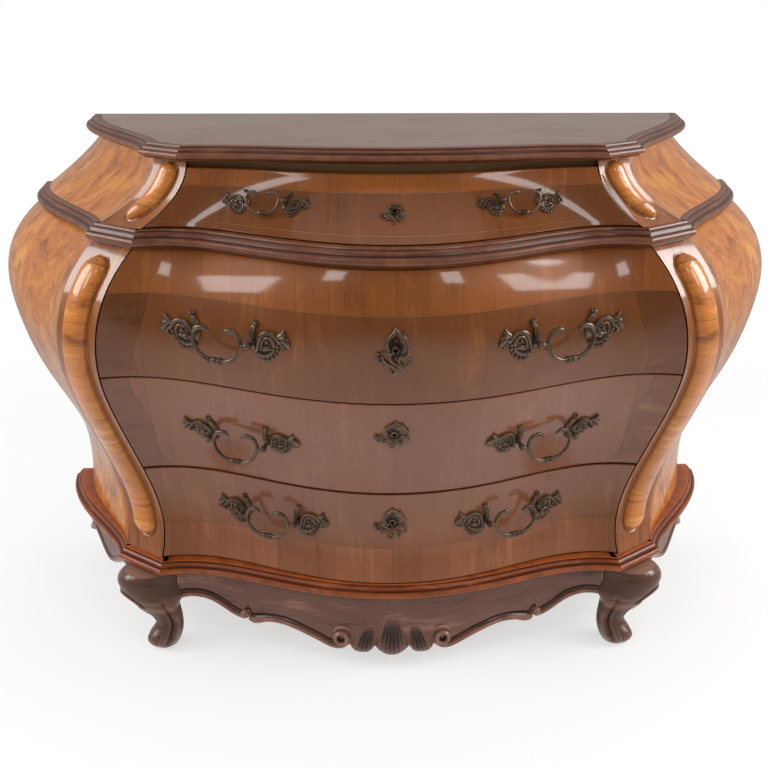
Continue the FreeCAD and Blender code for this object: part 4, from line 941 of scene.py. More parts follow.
def bail(number):
    """Right-hand bail: a loop hanging from two pins, thin at the sides and full at the bottom, each
    top curled inwards as a leaf, with a knop of collars and gadroons toward the outer side."""
    x_middle, z, scale, lean = HANDLES[number]
    ends, axis = handle_axis(x_middle, z, scale)
    middle = (ends[0][0] + ends[1][0]) / 2
    half = np.linalg.norm(ends[1][0] - ends[0][0]) / 2 / scale
    level_out = facing(unit(np.cross(UPWARD, axis)), FORWARD)
    true_up = facing(np.cross(axis, level_out), UPWARD)
    down = true_up * -cos(lean) + level_out * sin(lean)
    ahead = facing(np.cross(axis, down), level_out)

    def lay(points):
        spot = points[..., :1] * axis - points[..., 1:2] * down + points[..., 2:3] * ahead
        return middle + spot * scale

    arc = np.radians(np.linspace(0.0, 90.0, 7))
    corner = np.stack((9.0 + 33.0 * np.cos(arc), 3.0 - 33.0 * np.sin(arc)), 1)
    curl = np.radians(np.linspace(0.0, 90.0, 4))[1:]
    tip = np.stack((27.0 + 15.0 * np.cos(curl), 3.0 + 15.0 * np.sin(curl)), 1)
    hook = np.array(((21.0, 18.4), (15.5, 16.0), (12.5, 11.5)))
    side = np.concatenate((hook[::-1], tip[::-1], corner))
    order, last = np.arange(len(side)), len(side) - 1
    width = np.interp(order, (0, 1, 2.5, 5, 8, last), (1.0, 3.0, 4.3, 3.3, 2.9, 3.7))
    path = np.concatenate((side, side[::-1] * (-1.0, 1.0)))
    stations = np.column_stack((path, 0.0 * path[:, 0], np.r_[width, width[::-1]]))
    skins = [sweep(stations, 84, 14, 0.95, lay)]
    skins += [collar(spot, radius, lay) for spot, radius in COLLARS]
    skins.append(gadroon(lay))
    for sign in (-1.0, 1.0):
        pin = [(sign * place, 0.0, 0.0, PIN_RADIUS) for place in (39.0, 44.0, half + 4.0)]
        skins.append(sweep(pin, 6, 10, 1.0, lay))
    return skins


def round_bottom(along, ring_radius, turn):
    """Rings round the straight bottom of a bail."""
    return layered(along, BAIL_LEVEL + ring_radius * np.cos(turn), ring_radius * np.sin(turn))


def collar(place, radius, lay):
    """Collar round the bottom of a bail: a half-round ring with flat ends."""
    section = np.linspace(0.0, np.pi, 7)[:, None]
    ring_radius = radius - COLLAR_THICKNESS * (1.0 - np.sin(section))
    ring_radius[[0, -1]] = 2.0
    grid = round_bottom(place - COLLAR_THICKNESS * np.cos(section), ring_radius, circle(16))
    # The collar's crest, where the bronze is painted lighter: rubbing and a painted highlight.
    return woven(lay(grid), ridge=np.broadcast_to(np.sin(section) ** 2, grid.shape[:2]))


def gadroon(lay):
    """Fluted swelling beside the collars, seven ridges drawn out to a taper."""
    turn = circle(42)
    t = np.linspace(0.0, 1.0, 14)[:, None]
    swell = 2.0 + 4.0 * np.sin(np.pi * (0.14 + 0.86 * t) ** 0.8) * (1 - 0.35 * t)
    crest = np.abs(np.cos(3.5 * turn))
    grid = round_bottom(-1.0 + 15.5 * t, swell * (1.0 - 0.13 * (1.0 - crest)), turn)
    # The flutes' crests, where the bronze is painted lighter: rubbing and a painted highlight.
    return woven(lay(grid), ridge=np.broadcast_to(crest ** 3, grid.shape[:2]))


# Height of each drawer's keyhole plate, and its width as a share of that
ESCUTCHEONS = {1: (42.0, 0.86), 2: (76.0, 0.64), 3: (62.0, 0.86), 4: (62.0, 0.86)}
# Rods of a keyhole plate: across and up, as shares of its height, height over the front, half width
CARTOUCHE = (
    ((-0.155, -0.051, 3, 0.01), (-0.238, -0.065, 4, 0.02), (-0.242, -0.143, 4, 0.022),
     (-0.206, -0.225, 4, 0.024), (-0.129, -0.289, 4, 0.024), (-0.046, -0.331, 4, 0.022),
     (0.006, -0.386, 4, 0.022), (0.01, -0.45, 4, 0.022), (-0.042, -0.496, 3.4, 0.02),
     (-0.09, -0.454, 3, 0.018), (-0.071, -0.404, 3, 0.012)),
    ((-0.033, -0.056, 3, 0.012), (-0.09, -0.084, 4, 0.018), (-0.106, -0.143, 4.4, 0.02),
     (-0.078, -0.216, 4.4, 0.022), (-0.001, -0.28, 4.2, 0.022), (0.089, -0.336, 4, 0.022),
     (0.138, -0.39, 3.6, 0.022), (0.112, -0.459, 3, 0.016)),
    ((0.211, 0.158, 3, 0.02), (0.243, -0.051, 4, 0.022), (0.217, -0.106, 4, 0.022),
     (0.14, -0.143, 4, 0.022), (0.07, -0.157, 4.4, 0.02), (0.06, -0.225, 4.2, 0.02),
     (0.115, -0.299, 3.8, 0.02), (0.185, -0.337, 3, 0.016)),
    ((0.166, -0.143, 3, 0.014), (0.25, -0.202, 3.6, 0.03), (0.262, -0.262, 3.6, 0.028),
     (0.217, -0.326, 3, 0.014)),
    ((0.012, 0.457, 2.4, 0.014), (-0.052, 0.308, 3.4, 0.03), (-0.142, 0.2, 3.6, 0.026),
     (-0.142, 0.04, 3.6, 0.024), (-0.09, -0.024, 3, 0.016)),
    ((0.012, 0.433, 2.4, 0.012), (0.07, 0.333, 3.2, 0.026), (0.15, 0.267, 3.4, 0.026),
     (0.211, 0.158, 3, 0.018)),
    ((-0.27, -0.1, 2.4, 0.02), (-0.33, -0.079, 3, 0.026), (-0.37, -0.1, 2.4, 0.014)),
    ((-0.26, -0.164, 2.4, 0.02), (-0.33, -0.164, 3, 0.028), (-0.365, -0.193, 2.4, 0.016)),
    ((-0.23, -0.221, 2.4, 0.02), (-0.29, -0.25, 3, 0.026), (-0.32, -0.279, 2.4, 0.014)),
    ((-0.16, -0.286, 2.4, 0.018), (-0.19, -0.329, 3, 0.024), (-0.22, -0.357, 2.2, 0.012)),
)
CARTOUCHE_SHARE = 0.64
CARTOUCHE_PEARLS = ((-0.14, 0.20), (-0.14, 0.06), (0.15, 0.33), (0.21, 0.14), (0.0, 0.20))
# Rings of its ground: share of the way from keyhole to outline, height over the front
GROUND_RINGS = ((0.0, -0.8), (0.0, 3.6), (0.05, 4.5), (0.16, 4.4), (0.24, 2.2), (0.92, 1.5), (1.0, 1.0),
                (1.0, -0.8))


def escutcheon(number):
    """Keyhole plate: a pierced ground in rings round the keyhole, C and S scrolls and leaf tips
    over it, and a round boss for the key."""
    height, share = ESCUTCHEONS[number]
    frame = surface_frame(0.0, KEY_HEIGHTS[number])
    lay = laid_on_front(frame, 1.0, 1.0)
    wide = share / CARTOUCHE_SHARE
    size = np.array((wide * height, height, height / 76.0, 1.15 * height))
    skins = [sweep(np.array(stations) * size, 4 + 3 * len(stations), 8, lay=lay) for stations in CARTOUCHE]
    for u, v in CARTOUCHE_PEARLS:
        skins.append(bead(u * wide * height, v * height, 0.026 * height, 1.4, lay))
    turn = circle(40)
    sideways = np.abs(np.cos(turn))
    slot = (np.sin(turn) < -0.1) * np.minimum(KEY_RADIUS / 2 / np.maximum(sideways, 0.2), KEY_SLOT)
    hole = np.maximum(KEY_RADIUS, np.where(sideways < 0.3, np.minimum(slot, 7.5), 0.0))
    outline = 0.25 * height * (1.0 + 0.10 * np.cos(3 * turn + 0.5) + 0.06 * np.cos(5 * turn))
    outer = np.stack((outline * share * np.cos(turn), 0.95 * outline * np.sin(turn) + 0.02 * height))
    inner = np.stack((hole * np.cos(turn), hole * np.sin(turn)))
    part, rise = np.array(GROUND_RINGS).T[:, :, None]
    u, v = (near + (far - near) * part for near, far in zip(inner, outer))
    return skins + [tube_skin(lay(layered(u, v, rise)))]


def tube_skin(grid):
    """Closed ring of rings: the last joins back to the first, so a hole stays open through it."""
    skin = woven(np.concatenate((grid, grid[:1])))
    count = grid.shape[1]
    total = grid.shape[0] * count
    points = skin["points"][:total]
    quads = skin["quads"] % total
    made = dict(skin, points=points, quads=quads, caps=[],
                data={key: values[:total] for key, values in skin["data"].items()})
    return made if volume(points, quads, []) > 0 else turned(made)


# ---------------------------------------------------------------- finishes
class Nodes:
    """Short hand for a node tree: an input is a number, a colour or another node's output."""

    def __init__(self, tree):
        self.tree = tree

    def feed(self, node, inputs):
        """Set or link inputs of a node."""
        for key, value in dict(inputs).items():
            if isinstance(value, bpy.types.NodeSocket):
                self.tree.links.new(value, node.inputs[key])
            elif value is not None:
                node.inputs[key].default_value = value

    def make(self, kind, inputs=(), out=0, **settings):
        """New node, given back as one of its outputs, or whole if out is None."""
        node = self.tree.nodes.new(kind)
        for key, value in settings.items():
            setattr(node, key, value)
        self.feed(node, inputs)
        return node.outputs[out] if out is not None else node

    def math(self, operation, a, b=None):
        return self.make("ShaderNodeMath", {0: a, 1: b}, operation=operation)

    def vector(self, operation, a, b=None):
        inputs = {0: a, "Scale" if operation == "SCALE" else 1: b}
        return self.make("ShaderNodeVectorMath", inputs, operation=operation)

    def split(self, vector):
        return self.make("ShaderNodeSeparateXYZ", {0: vector}, None).outputs

    def join(self, x, y=None, z=None):
        return self.make("ShaderNodeCombineXYZ", {0: x, 1: y, 2: z})

    def step(self, value, low, high, to_low=0.0, to_high=1.0):
        """Smooth step of a value between two edges."""
        inputs = {"Value": value, "From Min": low, "From Max": high, "To Min": to_low, "To Max": to_high}
        return self.make("ShaderNodeMapRange", inputs, interpolation_type="SMOOTHSTEP")

    def mix(self, share, a, b, blend="MIX"):
        return self.make("ShaderNodeMix", {0: share, 6: a, 7: b}, 2, data_type="RGBA", blend_type=blend)

    def noise(self, vector, scale, detail=3.0, rough=0.5, out="Fac"):
        inputs = {"Vector": vector, "Scale": scale, "Detail": detail, "Roughness": rough}
        return self.make("ShaderNodeTexNoise", inputs, out)

    def wandering(self, place, scale, reach):
        """The place, moved about by coloured noise."""
        away = self.vector("SCALE", self.noise(place, scale, 3.0, 0.6, "Color"), reach)
        return self.vector("ADD", place, away)

    def stored(self, name, out="Fac"):
        """Value kept on the mesh under a name."""
        return self.make("ShaderNodeAttribute", (), out, attribute_name=name)

    def group(self, tree, inputs):
        return self.make("ShaderNodeGroup", inputs, None, node_tree=tree).outputs


KINDS = {"value": "NodeSocketFloat", "colour": "NodeSocketColor", "vector": "NodeSocketVector"}


def effect(name, inputs, outputs, build):
    """Node group made once: inputs and outputs by name and kind, wired by a building function."""
    found = bpy.data.node_groups.get(name)
    if found:
        return found
    tree = bpy.data.node_groups.new(name, "ShaderNodeTree")
    for label, kind in inputs.items():
        tree.interface.new_socket(name=label, in_out="INPUT", socket_type=KINDS[kind])
    for label, kind in outputs.items():
        tree.interface.new_socket(name=label, in_out="OUTPUT", socket_type=KINDS[kind])
    nodes = Nodes(tree)
    entry = tree.nodes.new("NodeGroupInput")
    results = build(nodes, {socket.name: socket for socket in entry.outputs if socket.name})
    leave = tree.nodes.new("NodeGroupOutput")
    for label, socket in results.items():
        tree.links.new(socket, leave.inputs[label])
    return tree


def linear(colour, scale=1.0):
    """Scene linear colour of a screen colour."""
    rgb = np.asarray(colour, float)
    rgb = np.where(rgb <= 0.04045, rgb / 12.92, ((rgb + 0.055) / 1.055) ** 2.4) * scale
    return (*rgb, 1.0)


def palette_of(settings, prefix=""):
    """Dark, middle and light of a finish, from settings whose names begin with a prefix."""
    return [getattr(settings, prefix + shade) for shade in ("dark", "middle", "light")]


def deeper(colour, share):
    """A colour darkened to a share of itself."""
    return (*(share * c for c in colour[:3]), 1.0)


def grain():
    """Walnut with its grain along Y: drifting streaks, fine fibres, soft clouds and short pores."""
    def build(n, i):
        seed = i["Seed"]
        away = n.join(n.math("MULTIPLY", seed, 3.7), n.math("MULTIPLY", seed, 1.9), seed)
        place = n.vector("ADD", i["Vector"], away)
        wander = n.vector("SUBTRACT", n.noise(place, 3.2, 2.0, 0.5, "Color"), (0.5, 0.5, 0.5))
        warped = n.vector("ADD", place, n.vector("SCALE", wander, 0.09))
        streak = n.noise(n.vector("MULTIPLY", warped, (1.0, 0.10, 1.0)), 46.0, 5.0, 0.62)
        fibre = n.noise(n.vector("MULTIPLY", warped, (1.0, 0.045, 1.0)), 420.0, 3.0, 0.6)
        cloud = n.noise(warped, 8.0, 4.0, 0.55)
        pore = n.step(n.noise(n.vector("MULTIPLY", warped, (1.0, 0.06, 1.0)), 1300.0, 1.0), 0.60, 0.70)
        tone = n.math("ADD", n.math("MULTIPLY", streak, 0.5), n.math("MULTIPLY", fibre, 0.22))
        tone = n.math("ADD", tone, n.math("MULTIPLY", cloud, 0.28))
        swing = n.math("MULTIPLY", n.math("SUBTRACT", tone, 0.5), i["Figure"])
        dark = n.step(swing, -0.02, -0.16)
        light = n.step(swing, 0.01, 0.15)
        colour = n.mix(light, n.mix(dark, i["Middle"], i["Dark"]), i["Light"])
        colour = n.mix(n.math("MULTIPLY", pore, 0.30), colour, i["Dark"], "MULTIPLY")
        height = n.math("SUBTRACT", n.math("MULTIPLY", fibre, 0.35), n.math("MULTIPLY", pore, 0.6))
        return {"Color": colour, "Height": height}

    inputs = {"Vector": "vector", "Dark": "colour", "Middle": "colour", "Light": "colour",
              "Seed": "value", "Figure": "value"}
    return effect("Walnut grain", inputs, {"Color": "colour", "Height": "value"}, build)


def leaves():
    """Leaves of veneer side by side along X: a number for each leaf, and the hairline between them."""
    def build(n, i):
        wobble = n.math("MULTIPLY", n.math("SUBTRACT", n.noise(i["Vector"], 2.2, 1.0), 0.5), 0.010)
        x = n.math("ADD", n.split(i["Vector"])[0], wobble)
        place = n.math("DIVIDE", x, i["Width"])
        share = n.math("FRACT", place)
        number = n.math("ADD", n.math("FLOOR", place), i["Seed"])
        random = n.make("ShaderNodeTexWhiteNoise", {"W": number}, noise_dimensions="1D")
        near = n.math("MULTIPLY", n.math("MINIMUM", share, n.math("SUBTRACT", 1.0, share)), i["Width"])
        return {"Leaf": random, "Joint": n.step(near, 0.0009, 0.0002)}

    inputs = {"Vector": "vector", "Width": "value", "Seed": "value"}
    return effect("Veneer leaves", inputs, {"Leaf": "value", "Joint": "value"}, build)


def inlay():
    """Strip at a distance from an edge: 1 inside its width, 0 outside."""
    def build(n, i):
        away = n.math("ABSOLUTE", n.math("SUBTRACT", i["Distance"], i["Place"]))
        half = n.math("MULTIPLY", i["Width"], 0.5)
        return {"Mask": n.step(away, n.math("ADD", half, 0.35), n.math("SUBTRACT", half, 0.15))}

    inputs = {"Distance": "value", "Place": "value", "Width": "value"}
    return effect("Inlay strip", inputs, {"Mask": "value"}, build)


def polish():
    """Old French polish: broad smears and fine dust in its sheen, as a roughness."""
    def build(n, i):
        smear = n.noise(i["Vector"], 5.0, 4.0, 0.6)
        dust = n.noise(i["Vector"], 260.0, 2.0, 0.6)
        spread = n.math("SUBTRACT", i["High"], i["Low"])
        broad = n.math("MULTIPLY", n.step(smear, 0.35, 0.70), 0.75)
        share = n.math("ADD", broad, n.math("MULTIPLY", dust, 0.25))
        return {"Roughness": n.math("ADD", i["Low"], n.math("MULTIPLY", share, spread))}

    inputs = {"Vector": "vector", "Low": "value", "High": "value"}
    return effect("Old polish", inputs, {"Roughness": "value"}, build)


def shade_highlight_and_wear():
    """Hollows painted darker, as painted shade and dirt, and ridges painted lighter, as a painted highlight
    and rubbing, from the Hollow value stored on a carved surface.
    """
    def build(n, i):
        patch = n.noise(i["Vector"], 40.0, 3.0, 0.6)
        # Hollows darker: painted shade with some dirt on the wood, patina on the bronze.
        dirt = n.math("MULTIPLY", n.step(i["Hollow"], 0.02, 0.55), n.step(patch, 0.15, 0.55, 0.6, 1.0))
        # Ridges lighter: rubbing, and a painted highlight.
        rubbed = n.math("MULTIPLY", n.step(i["Hollow"], -0.04, -0.5), n.step(patch, 0.25, 0.65, 0.35, 1.0))
        colour = n.mix(dirt, i["Color"], i["Dirt"])
        return {"Color": n.mix(rubbed, colour, i["Rubbed"]), "Dirt": dirt, "Rubbed": rubbed}

    inputs = {"Vector": "vector", "Color": "colour", "Dirt": "colour", "Rubbed": "colour",
              "Hollow": "value"}
    return effect("Wear", inputs, {"Color": "colour", "Dirt": "value", "Rubbed": "value"}, build)


def material(name):
    """New material, with short hand for its nodes, and its shader."""
    made = bpy.data.materials.new(name)
    made.use_nodes = True
    return made, Nodes(made.node_tree), made.node_tree.nodes["Principled BSDF"]


def uv_place(n):
    """Place on a skin, from its UV."""
    return n.make("ShaderNodeUVMap", uv_map="UVMap")


def object_place(n):
    """Place in the chest, from the object's own coordinates."""
    return n.make("ShaderNodeTexCoord", (), "Object")


def swapped(n, vector):
    """The place with X and Y exchanged, so that the grain runs across."""
    x, y, z = n.split(vector)
    return n.join(y, x, z)


def walnut(n, place, palette, seed, figure):
    """Walnut grain at a place, in a palette of dark, middle and light."""
    dark, middle, light = palette
    return n.group(grain(), {"Vector": place, "Dark": dark, "Middle": middle, "Light": light,
                             "Seed": seed, "Figure": figure})


def leaf_seed(n, sheet, seed):
    """A seed of its own for each leaf of a sheet."""
    return n.math("ADD", n.math("MULTIPLY", sheet["Leaf"], 9.0), seed)


def varnished(n, shader, place, colour, height, look):
    """French-polished wood: colour, fine grain in relief and a clear coat over it."""
    sheen = n.group(polish(), {"Vector": place, "Low": look["low"], "High": look["high"]})["Roughness"]
    normal = n.make("ShaderNodeBump", {"Strength": 0.12, "Distance": GRAIN_RELIEF, "Height": height})
    n.feed(shader, {
        "Base Color": colour, "Roughness": sheen, "Normal": normal, "Coat Weight": look["coat"],
        "Coat Roughness": look["coat_rough"], "Coat IOR": 1.5, "Specular IOR Level": look["spec"],
    })


GRAIN_RELIEF = 0.0004
# Sheen: roughness between low and high, the coat over it and the wood's own reflection
LOOK = {"low": 0.34, "high": 0.5, "coat": 0.75, "coat_rough": 0.10, "spec": 0.25}
RING_LOOK = dict(LOOK, coat=0.28, coat_rough=0.18)
CARVED_LOOK = dict(LOOK, coat=0.6, coat_rough=0.16)
DULL_LOOK = dict(LOOK, low=0.6, high=0.78, coat=0.0, spec=0.3)


def veneer(name, palette, seed, leaf, figure=1.0, across=False, eyes=0.0):
    """Leaves of walnut veneer laid side by side, their grain upright or, across, level. Burr veneer
    has clouds of curl and dark eyes over its grain."""
    made, n, shader = material(name)
    place = uv_place(n)
    run = swapped(n, place) if across else place
    sheet = n.group(leaves(), {"Vector": run, "Width": leaf, "Seed": seed})
    palette = dark, middle, light = [linear(c) for c in palette]
    grown = walnut(n, run, palette, leaf_seed(n, sheet, seed), figure)
    colour = n.vector("SCALE", grown["Color"], n.step(sheet["Leaf"], 0.0, 1.0, 0.90, 1.08))
    if eyes:
        curl = n.noise(n.wandering(place, 9.0, 0.16), 30.0, 7.0, 0.66)
        burr = n.mix(n.step(curl, 0.50, 0.62), n.mix(n.step(curl, 0.48, 0.36), middle, dark), light)
        colour = n.mix(0.55, colour, burr)
        knots = n.make("ShaderNodeTexVoronoi", {"Vector": n.wandering(place, 14.0, 0.05), "Scale": 19.0},
                       "Distance")
        eye = n.math("MULTIPLY", n.step(knots, 0.20, 0.05), n.step(n.noise(place, 5.0, 2.0), 0.48, 0.62))
        colour = n.mix(n.math("MULTIPLY", eye, eyes), colour, dark)
    colour = n.mix(n.math("MULTIPLY", sheet["Joint"], 0.55), colour, deeper(dark, 0.35))
    varnished(n, shader, place, colour, grown["Height"], LOOK)
    return made


# Of each drawer front: its stringing lines (edge, distance, width), width of its end panels, the edge and the
# depth of its border, and how much lighter the border is painted: partly the crossband's own tone, partly
# painted light on the upper bands of drawers 1 and 2
FRONT_LAYOUT = {
    1: ((("top", 25.0, 0.8), ("low", 8.5, 0.8)), 0.0, ("top", 25.0), 1.7),
    2: ((("top", 63.0, 0.8),), 60.0, ("top", 63.0), 1.5),
    3: ((), 46.0, ("low", 0.0), 1.0),
    4: ((("low", 56.0, 0.8),), 0.0, ("low", 56.0), 1.15),
}
LEAF_WIDTH, BAND_LEAF_WIDTH = 0.128, 0.047
# Softness of an inlaid edge, and the dark glue line on both sides of a string, in millimetres
EDGE_SOFT, GLUE_LINE = 0.2, 1.3
HAIR_STRENGTH, STRING_STRENGTH = 0.28, 0.5


def front_finish(number, settings, seed):
    """Veneered drawer front: upright leaves in the middle, level grain in the end panels, a border of narrow
    leaves beyond the stringing line painted lighter, partly for its own tone and partly as painted light, and
    dark hairlines between them."""
    made, n, shader = material(f"walnut_front_{number}")
    place = uv_place(n)
    from_end, from_low, from_top = n.split(n.stored("inset", "Vector"))
    from_edge = {"low": from_low, "top": from_top}
    palette = [linear(c) for c in palette_of(settings, "warm_" if number < 3 else "rose_")]
    lines, ends, (border_edge, border_depth), border_tone_and_painted_light = FRONT_LAYOUT[number]
    sheet = n.group(leaves(), {"Vector": place, "Width": LEAF_WIDTH, "Seed": seed})
    upright = walnut(n, place, palette, leaf_seed(n, sheet, seed), 0.62)
    colour = n.vector("SCALE", upright["Color"], n.step(sheet["Leaf"], 0.0, 1.0, 0.94, 1.06))
    wave = n.math("MULTIPLY", n.math("SINE", n.math("MULTIPLY", from_low, 0.045)), 5.0)
    panel = n.math("ADD", from_end, wave)
    if ends:
        level = walnut(n, swapped(n, place), palette, seed + 4.0, 0.8)
        end_mask = n.step(panel, ends + EDGE_SOFT, ends - EDGE_SOFT)
        colour = n.mix(end_mask, colour, n.vector("SCALE", level["Color"], 0.80))
    banded = n.group(leaves(), {"Vector": place, "Width": BAND_LEAF_WIDTH, "Seed": seed + 2.0})
    # The border is painted lighter: partly its own tone, partly painted light, most of all on the upper bands
    # of drawers 1 and 2.
    band_tone_and_painted_light = n.math("MULTIPLY", n.step(banded["Leaf"], 0.0, 1.0, 0.91, 1.09), border_tone_and_painted_light)
    band_mask = n.step(from_edge[border_edge], border_depth + EDGE_SOFT, border_depth - EDGE_SOFT)
    colour = n.mix(band_mask, colour, n.vector("SCALE", upright["Color"], band_tone_and_painted_light))
    hair = deeper(palette[0], 0.30)
    joints = n.mix(band_mask, n.join(sheet["Joint"]), n.join(banded["Joint"]))
    colour = n.mix(n.math("MULTIPLY", n.split(joints)[0], HAIR_STRENGTH), colour, hair)
    pale = linear(settings.stringing)
    strips = [(panel, ends, 0.9, hair)] if ends else []
    for edge, spot, width in lines:
        strips += [(from_edge[edge], spot, width + GLUE_LINE, hair), (from_edge[edge], spot, width, pale)]
    for distance, spot, width, strip_colour in strips:
        mask = n.group(inlay(), {"Distance": distance, "Place": spot, "Width": width})["Mask"]
        colour = n.mix(n.math("MULTIPLY", mask, STRING_STRENGTH), colour, strip_colour)
    colour = n.mix(n.step(from_end, 0.0, -0.5), colour, linear(settings.backing))
    varnished(n, shader, place, colour, upright["Height"], LOOK)
    return made


def moulding_finish(name, palette, look=RING_LOOK, dirt=0.5):
    """Solid walnut moulding: grain along its length, painted darker in its quirks as painted shade with some
    dirt, painted lighter on its nose as a painted highlight and rubbing.
    """
    made, n, shader = material(name)
    place = uv_place(n)
    palette = dark, _, light = [linear(c) for c in palette]
    grown = walnut(n, swapped(n, place), palette, 3.0, 1.0)
    # The dark in the quirks is painted shade with some dirt; the light on the nose is a painted highlight
    # with rubbing.
    shaded_and_worn = n.group(shade_highlight_and_wear(), {"Vector": place, "Color": grown["Color"], "Dirt": deeper(dark, dirt),
                            "Rubbed": light, "Hollow": n.stored("hollow")})
    varnished(n, shader, place, shaded_and_worn["Color"], grown["Height"], look)
    return made


def solid_wood(name, palette, axis, look, figure, seed):
    """Board with its grain along an axis of the chest."""
    made, n, shader = material(name)
    place = object_place(n)
    x, y, z = n.split(place)
    run = n.join(*{"x": (y, x, z), "y": (x, y, z), "z": (x, z, y)}[axis])
    grown = walnut(n, run, [linear(c) for c in palette], seed, figure)
    varnished(n, shader, place, grown["Color"], grown["Height"], look)
    return made


def bronze_finish(scene):
    """Dark patinated bronze, dull with patina in its hollows and painted bright along its ridges as rubbing
    and a painted highlight; made once for the handles and the keyhole plates."""
    found = bpy.data.materials.get("patinated_bronze")
    if found:
        return found
    settings = scene.chest_metal
    made, n, shader = material("patinated_bronze")
    place = object_place(n)
    blotch = n.noise(place, 90.0, 4.0, 0.6)
    base = n.mix(n.step(blotch, 0.35, 0.65), linear(settings.bronze_dark), linear(settings.bronze))
    # Ridges, collar crests and pearl tops are painted lighter: rubbing and a painted highlight.
    ridge = n.math("MULTIPLY", n.step(n.stored("ridge"), 0.45, 1.0), 0.42)
    crest = n.math("SUBTRACT", n.stored("hollow"), ridge)
    shaded_and_worn = n.group(shade_highlight_and_wear(), {"Vector": place, "Color": base, "Dirt": linear(settings.bronze_dark, 0.45),
                            "Rubbed": linear(settings.bronze_rubbed_and_highlit), "Hollow": crest})
    rough = n.math("ADD", 0.40, n.math("MULTIPLY", shaded_and_worn["Dirt"], 0.30))
    rough = n.math("SUBTRACT", rough, n.math("MULTIPLY", shaded_and_worn["Rubbed"], 0.10))
    normal = n.make("ShaderNodeBump", {"Strength": 0.25, "Distance": GRAIN_RELIEF, "Height": blotch})
    n.feed(shader, {"Base Color": shaded_and_worn["Color"], "Roughness": rough, "Metallic": 0.75, "Normal": normal})
    return made


def iron_finish(settings):
    """Bright iron gone grey, mottled with a little rust."""
    made, n, shader = material("lock_iron")
    spots = n.step(n.noise(object_place(n), 120.0, 4.0, 0.65), 0.50, 0.70)
    colour = n.mix(spots, linear(settings.iron), linear(settings.iron_rust))
    rough = n.math("ADD", 0.34, n.math("MULTIPLY", spots, 0.3))
    n.feed(shader, {"Base Color": colour, "Roughness": rough, "Metallic": 0.8})
    return made


# ---------------------------------------------------------------- settings
def length(label, note, default):
    """Setting for a short length in metres."""
    return FloatProperty(name=label, description=note, default=default, min=0.0, max=0.1, unit="LENGTH",
                         precision=4)


def amount(label, note, default, **more):
    """Setting for a number that can't be negative."""
    return FloatProperty(name=label, description=note, default=default, min=0.0, **more)


def tint(label, note, *rgb):
    """Setting for a colour, given as red, green and blue up to 255."""
    return FloatVectorProperty(name=label, description=note, size=3, subtype="COLOR_GAMMA",
                               default=[value / 255 for value in rgb], min=0.0, max=1.0)


class CHEST_PG_fronts(bpy.types.PropertyGroup):
    """Drawer fronts and their veneers."""
    arris: length("Arris", "Radius rubbed on the edges of the drawer fronts", 0.0016)
    keyhole_depth: length("Keyhole depth", "How deep the keyholes are sunk behind the plates", 0.007)
    warm_dark: tint("Warm walnut, dark", "Dark streaks of drawers 1 and 2", 72, 35, 9)
    warm_middle: tint("Warm walnut", "Ground of drawers 1 and 2", 116, 62, 18)
    warm_light: tint("Warm walnut, light", "Pale streaks of drawers 1 and 2", 150, 88, 32)
    rose_dark: tint("Rose walnut, dark", "Dark streaks of drawers 3 and 4", 82, 45, 25)
    rose_middle: tint("Rose walnut", "Ground of drawers 3 and 4", 132, 80, 51)
    rose_light: tint("Rose walnut, light", "Pale streaks of drawers 3 and 4", 163, 107, 73)
    stringing: tint("Stringing", "Pale lines let into the veneer", 176, 120, 66)
    backing: tint("Backing", "Bare wood on the inside of the fronts", 150, 112, 76)


class CHEST_PG_sides(bpy.types.PropertyGroup):
    """Sides, canted posts and bolsters."""
    arris: length("Arris", "Radius on the ends of the side panels", 0.0004)
    pad_rise: length("Bolster rise", "How far the bolsters stand off the corner posts", 0.0145)
    small_pad_rise: length("Small bolster rise", "How far the upper bolsters stand off their posts", 0.0125)
    groove: length("Groove", "Width and depth of the groove round each bolster", 0.0016)
    burr_dark: tint("Burr, dark", "Dark clouds and eyes of the side veneer", 112, 52, 10)
    burr_middle: tint("Burr", "Ground of the side veneer", 184, 106, 30)
    burr_light: tint("Burr, light", "Pale clouds of the side veneer", 214, 142, 52)
    post_dark: tint("Post, dark", "Dark streaks of the corner posts", 92, 46, 20)
    post_middle: tint("Post", "Ground of the corner posts", 140, 82, 42)
    post_light: tint("Post, light", "Pale streaks of the corner posts", 180, 116, 66)
    pad_dark: tint("Bolster, dark", "Dark streaks of the bolsters", 124, 66, 26)
    pad_middle: tint("Bolster", "Ground of the bolsters", 190, 113, 44)
    pad_light: tint("Bolster, light", "Pale streaks of the bolsters", 220, 150, 76)


class CHEST_PG_mouldings(bpy.types.PropertyGroup):
    """The three rings of moulding."""
    waist_overhang: length("Waist overhang", "How far the waist ring stands out", 0.016)
    base_overhang: length("Base overhang", "How far the base ring stands out", 0.015)
    top_overhang: length("Top overhang", "How far the ring under the top stands out", 0.015)
    # The dark colours also paint the quirks darker as painted shade; the light colours paint the noses
    # lighter as a painted highlight with rubbing.
    dark: tint("Dark", "Dark streaks of the mouldings", 44, 20, 11)
    middle: tint("Middle", "Ground of the mouldings", 84, 42, 24)
    light: tint("Light", "Rubbed edges of the mouldings", 134, 82, 56)
    base_dark: tint("Base, dark", "Dark streaks of the base ring", 46, 17, 7)
    base_middle: tint("Base", "Ground of the base ring", 96, 41, 15)
    base_light: tint("Base, light", "Rubbed edges of the base ring", 172, 88, 38)


